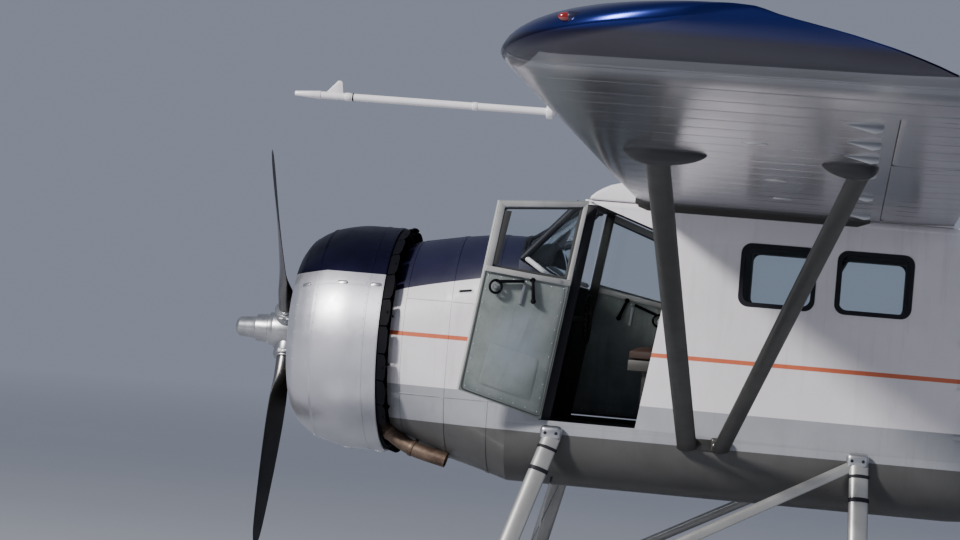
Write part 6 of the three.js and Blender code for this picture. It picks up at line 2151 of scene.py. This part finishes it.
class MakeFloats(bpy.types.Operator):
    """Floats with their seams, hatches and fittings, the float struts and the water rudders."""

    bl_idname = "floatplane.floats"
    bl_label = "Floats"
    bl_options = {"REGISTER", "UNDO"}

    def execute(self, context):
        for side, sign in SIDES:
            y = sign * FLOAT_Y
            self.hull(side, y)
            self.seams(side, y)
            self.deck(side, y)
            self.struts(side, sign)
            self.rudder(side, y)
        for name, x in STRUT_FEET.items():
            beam = streamlined(at(x, -1.145, -1.99), at(x, 1.145, -1.99), 0.090, 0.060, 32)
            piece = kept(beam, f"spreader_{name}")
            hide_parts(f"float_spreader_{name}")
            dress(piece, "airframe", "aluminium", paint("float_strut_metal"))
        self.wires()
        return {"FINISHED"}

    def hull(self, side, y):
        ahead = skin([float_ring(row, y) for row in FOREBODY_ROWS])
        behind = skin([float_ring(row, y) for row in AFTERBODY_ROWS])
        parts = [ahead, behind,
                 slab(at(6.56, y - 0.030, -1.990), at(6.675, y + 0.030, -1.950), 0.004),
                 bar(at(WATER_RUDDER_AXIS, y, -2.010), at(WATER_RUDDER_AXIS, y, -1.975), 0.012, sides=20)]
        for x in STRUT_FEET.values():
            parts.append(slab(at(x - 0.09, y - 0.09, deck_height(x) - 0.060), at(x + 0.09, y + 0.09,
                              deck_height(x) + 0.008), 0.004))
        hull = smooth(joined(parts, f"float_{side}_hull"), 30)
        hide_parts(f"float_{side}")
        dress(hull, "airframe", "aluminium", paint("float_metal"))
        nose = knob(at(-0.6145, y, -1.925), 0.095, (0.9, 0.75, 0.75), 18)
        bumper = kept(nose, f"float_bumper_{side}_smooth", 60)
        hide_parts(f"float_bumper_{side}")
        dress(bumper, "airframe", "rubber", paint("rubber"))

    def seams(self, side, y):
        frames = [0.02, 0.45, 0.88, 1.31, 1.74, 2.17, 2.60, 3.03, 3.40, 3.86, 4.30, 4.74, 5.18, 5.62, 6.06,
                  6.45]
        bands, seats = [], []
        for x in frames:
            rings = [float_ring((e, *float_row(x)[1:]) if abs(e - STEP_X) < 0.03
                                else (e, *float_row(e)[1:]), y, g)
                     for e, g in ((x - 0.013, -0.002), (x - 0.013, 0.0015), (x + 0.013, 0.0015),
                                  (x + 0.013, -0.002))]
            bands.append(skin(rings, closed_along=True))
            half, chine, deck = float_row(x)[1], float_row(x)[3], float_row(x)[4]
            for sign in (-1, 1):
                for z in even(chine + 0.03, deck - deck_edge(half), 6):
                    seats.append((at(x, y + sign * (half + 0.0015), KEEL_Z + z), (0, sign, 0)))
                for across in even(0.08, half - deck_edge(half), 5):
                    seats.append((at(x, y + sign * across, deck_height(x, across) + 0.0012), (0, 0, 1)))
        for rows in (FOREBODY_ROWS, AFTERBODY_ROWS):
            for sign in (-1, 1):
                rail = [at(x, y + sign * (half + 0.002), KEEL_Z + chine)
                        for x, half, keel, chine, deck in rows]
                bands.append(swept(rail, 0.009, 8))
                keel_line = [at(x, y + sign * 0.012, KEEL_Z + keel + 0.010)
                             for x, half, keel, chine, deck in rows]
                bands.append(swept(keel_line, 0.010, 8))
                for low, high in ((-0.30, 3.40), (3.50, 6.55)):
                    if rows is (FOREBODY_ROWS if low < 3 else AFTERBODY_ROWS):
                        for x in even(low, high, round((high - low) / 0.07)):
                            half, chine, deck = float_row(x)[1], float_row(x)[3], float_row(x)[4]
                            edge = deck_edge(half)
                            seats.append((at(x, y + sign * half, KEEL_Z + chine + 0.030), (0, sign, 0)))
                            seats.append((at(x, y + sign * half, KEEL_Z + deck - edge - 0.012), (0, sign, 0)))
        settle(bands, f"float_{side}_seams", 35, "aluminium", "float_metal")
        dress(rivet_rows(f"float_{side}_rivets", seats, sizes().rivet), "airframe", "aluminium",
              paint("float_metal"))

    def deck(self, side, y):
        metal, dark = [], []
        for x in (0.30, 1.00, 2.30, 3.20, 4.45, 5.25):
            top = at(x, y, deck_height(x))
            metal.append(bar(top - Vector((0, 0, 0.004)), top + Vector((0, 0, 0.005)), 0.082, 0.078,
                             sides=40))
            dark.append(bar(top + Vector((0, 0, 0.004)), top + Vector((0, 0, 0.012)), 0.060, 0.056,
                            sides=40, bevel=0.002))
            metal.append(slab(top + Vector((-0.034, -0.006, 0.011)), top + Vector((0.034, 0.006, 0.021)),
                              0.003))
        for x in (0.05, 2.75, 5.75):
            top = at(x, y, deck_height(x))
            metal.append(slab(top + Vector((-0.055, -0.022, -0.003)), top + Vector((0.055, 0.022, 0.006)),
                              0.002))
            for dx in (-0.024, 0.024):
                metal.append(bar(top + Vector((dx, 0, 0.0)), top + Vector((dx, 0, 0.036)), 0.010, sides=14))
            horn = [top + Vector((dx, 0, z)) for dx, z in (
                (-0.085, 0.045), (-0.05, 0.039), (0, 0.037), (0.05, 0.039), (0.085, 0.045))]
            metal.append(swept(curve_through(horn, 4),
                               lambda share: 0.005 + 0.005 * math.sin(math.pi * share), 10))
        for x in (-0.46, 6.42):
            top = at(x, y, deck_height(x))
            metal.append(torus(top + Vector((0, 0, 0.016)), (0, 1, 0), 0.020, 0.005, 24))
            metal.append(slab(top + Vector((-0.025, -0.012, -0.004)), top + Vector((0.025, 0.012, 0.004)),
                              0.002))
        for low, high in ((1.78, 2.16), (2.44, 2.62), (2.90, 3.06), (3.34, 3.70)):
            for across in (-0.19, 0.19):
                rows = []
                for x in even(low, high, 5):
                    rows.append([at(x, y + across + dy, deck_height(x, across + dy) + dz) for dy, dz in (
                        (-0.09, -0.001), (-0.088, 0.003), (0.088, 0.003), (0.09, -0.001))])
                dark.append(skin(rows))
        settle(metal, f"float_{side}_fittings", 38, "aluminium", "bare_metal")
        settle(dark, f"float_{side}_walkway", 38, "rubber", "rubber")

    def struts(self, side, sign):
        foot_y = FLOAT_Y - 0.060
        bars, caps, rings = [], [], []
        for foot_x, head_x in ((1.56, 1.90), (3.90, 3.82)):
            head = at(head_x, sign * 0.720, -0.505)
            foot = at(foot_x, sign * foot_y, deck_height(foot_x) + 0.030)
            bars.append(streamlined(foot, head, 0.120, 0.052, 32))
            caps.append(slab(at(head_x - 0.070, sign * ROOT_FACE, -0.540),
                             at(head_x + 0.070, sign * 0.755, -0.445), 0.030, 5))
            caps.append(slab(at(foot_x - 0.070, sign * (foot_y - 0.028), deck_height(foot_x) + 0.0085),
                             at(foot_x + 0.070, sign * (foot_y + 0.028), deck_height(foot_x) + 0.060),
                             0.012, 3))
            along = (foot - head).normalized()
            for start, end, wide in ((0.085, 0.105, 1.10), (0.235, 0.262, 1.08)):
                rings.append(streamlined(head + along * start, head + along * end, 0.120 * wide,
                                         0.052 * wide * 1.05, 32))
            for dx in (-0.035, 0.035):
                rings.append(bar(at(head_x + dx, sign * 0.752, -0.492),
                                 at(head_x + dx, sign * 0.762, -0.492), 0.011, sides=6, bevel=0.002))
        low = at(1.60, sign * foot_y, deck_height(1.56) + 0.050)
        bars.append(streamlined(low, at(3.80, sign * 0.724, -0.515), 0.070, 0.034, 32))
        struts = smooth(joined(bars, f"float_struts_{side}_smooth"), 50)
        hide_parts(f"float_struts_{side}")
        dress(struts, "airframe", "aluminium", paint("float_strut_metal"))
        settle(caps, f"float_strut_caps_{side}", 45, "aluminium", "bare_metal")
        settle(rings, f"float_strut_joints_{side}", 45, "dark_metal", "frame_dark")

    def rudder(self, side, y):
        body = f"water_rudder_{side}"
        dress(carried(body, bevel=0.0015), body, "aluminium", paint("bare_metal"))
        parts = [bar(at(WATER_RUDDER_AXIS, y, -2.14 + dz), at(WATER_RUDDER_AXIS, y, -2.125 + dz), 0.030,
                     sides=28, bevel=0.003)
                 for dz in (-0.12, 0.03)]
        parts.append(prism([(6.645, -2.045), (6.671, -2.045), (6.671, -2.037), (6.645, -2.037)], y - 0.072,
                           y + 0.072, 0.003))
        for dy in (-0.062, 0.062):
            parts.append(bar(at(6.656, y + dy, -2.052), at(6.656, y + dy, -2.026), 0.005, sides=12))
        for z in (-2.26, -2.16):
            parts.append(prism([(6.70, z), (6.84, z - 0.02), (6.84, z - 0.008), (6.70, z + 0.012)],
                               y - 0.0085, y + 0.0085, 0.002))
        settle(parts, f"{body}_horn", 40, "aluminium", "bare_metal", body)

    def wires(self):
        lines = []
        for sign in (-1, 1):
            lines.append((at(1.60, sign * 1.08, -1.975), at(3.86, -sign * 1.08, -1.975 + sign * 0.004)))
            for x, top_x in ((1.56, 1.90), (3.90, 3.84)):
                lines.append((at(x, sign * 1.10, -1.965), at(top_x + sign * 0.006, -sign * 0.52, -0.775)))
        parts, ends = [], []
        for start, end in lines:
            along = (end - start).normalized()
            parts.append(bar(start, end, 0.0035, sides=10))
            for place, way in ((start, along), (end, -along)):
                ends.append(bar(place, place + way * 0.075, 0.008, 0.006, sides=12, bevel=0.0015))
        settle(parts, "bracing_wires", 50, "dark_metal", "bare_metal")
        settle(ends, "bracing_wire_ends", 40, "dark_metal", "frame_dark")


STEPS = (
    MakeStage, MakeFinishes, MakeFuselage, MakeCowling, MakeEngine, MakePropeller, MakeWings, MakeStruts,
    MakeOpenings, MakeCabinFittings, MakeTail, MakeFloats,
)


class FLOATPLANE_PT_pieces(bpy.types.Panel):
    """Lists the floatplane's steps and what may be changed."""

    bl_label = "Floatplane"
    bl_idname = "FLOATPLANE_PT_pieces"
    bl_space_type = "VIEW_3D"
    bl_region_type = "UI"
    bl_category = "Floatplane"

    def draw(self, context):
        for step in STEPS:
            self.layout.operator(step.bl_idname)
        for group in (colours(), sizes(), studio()):
            box = self.layout.box()
            for key in group.__annotations__:
                box.prop(group, key)


GROUPS = (FloatplaneColours, FloatplaneSizes, FloatplaneStudio)


def register():
    for item in (*GROUPS, *STEPS, FLOATPLANE_PT_pieces):
        bpy.utils.register_class(item)
    bpy.types.Scene.floatplane_colours = PointerProperty(type=FloatplaneColours)
    bpy.types.Scene.floatplane_sizes = PointerProperty(type=FloatplaneSizes)
    bpy.types.Scene.floatplane_studio = PointerProperty(type=FloatplaneStudio)


def unregister():
    del bpy.types.Scene.floatplane_studio
    del bpy.types.Scene.floatplane_sizes
    del bpy.types.Scene.floatplane_colours
    for item in reversed((*GROUPS, *STEPS, FLOATPLANE_PT_pieces)):
        bpy.utils.unregister_class(item)


def main():
    """Builds the looks step by step."""
    register()
    for step in STEPS:
        family, action = step.bl_idname.split(".")
        getattr(getattr(bpy.ops, family), action)()


if __name__ == "__main__":
    main()
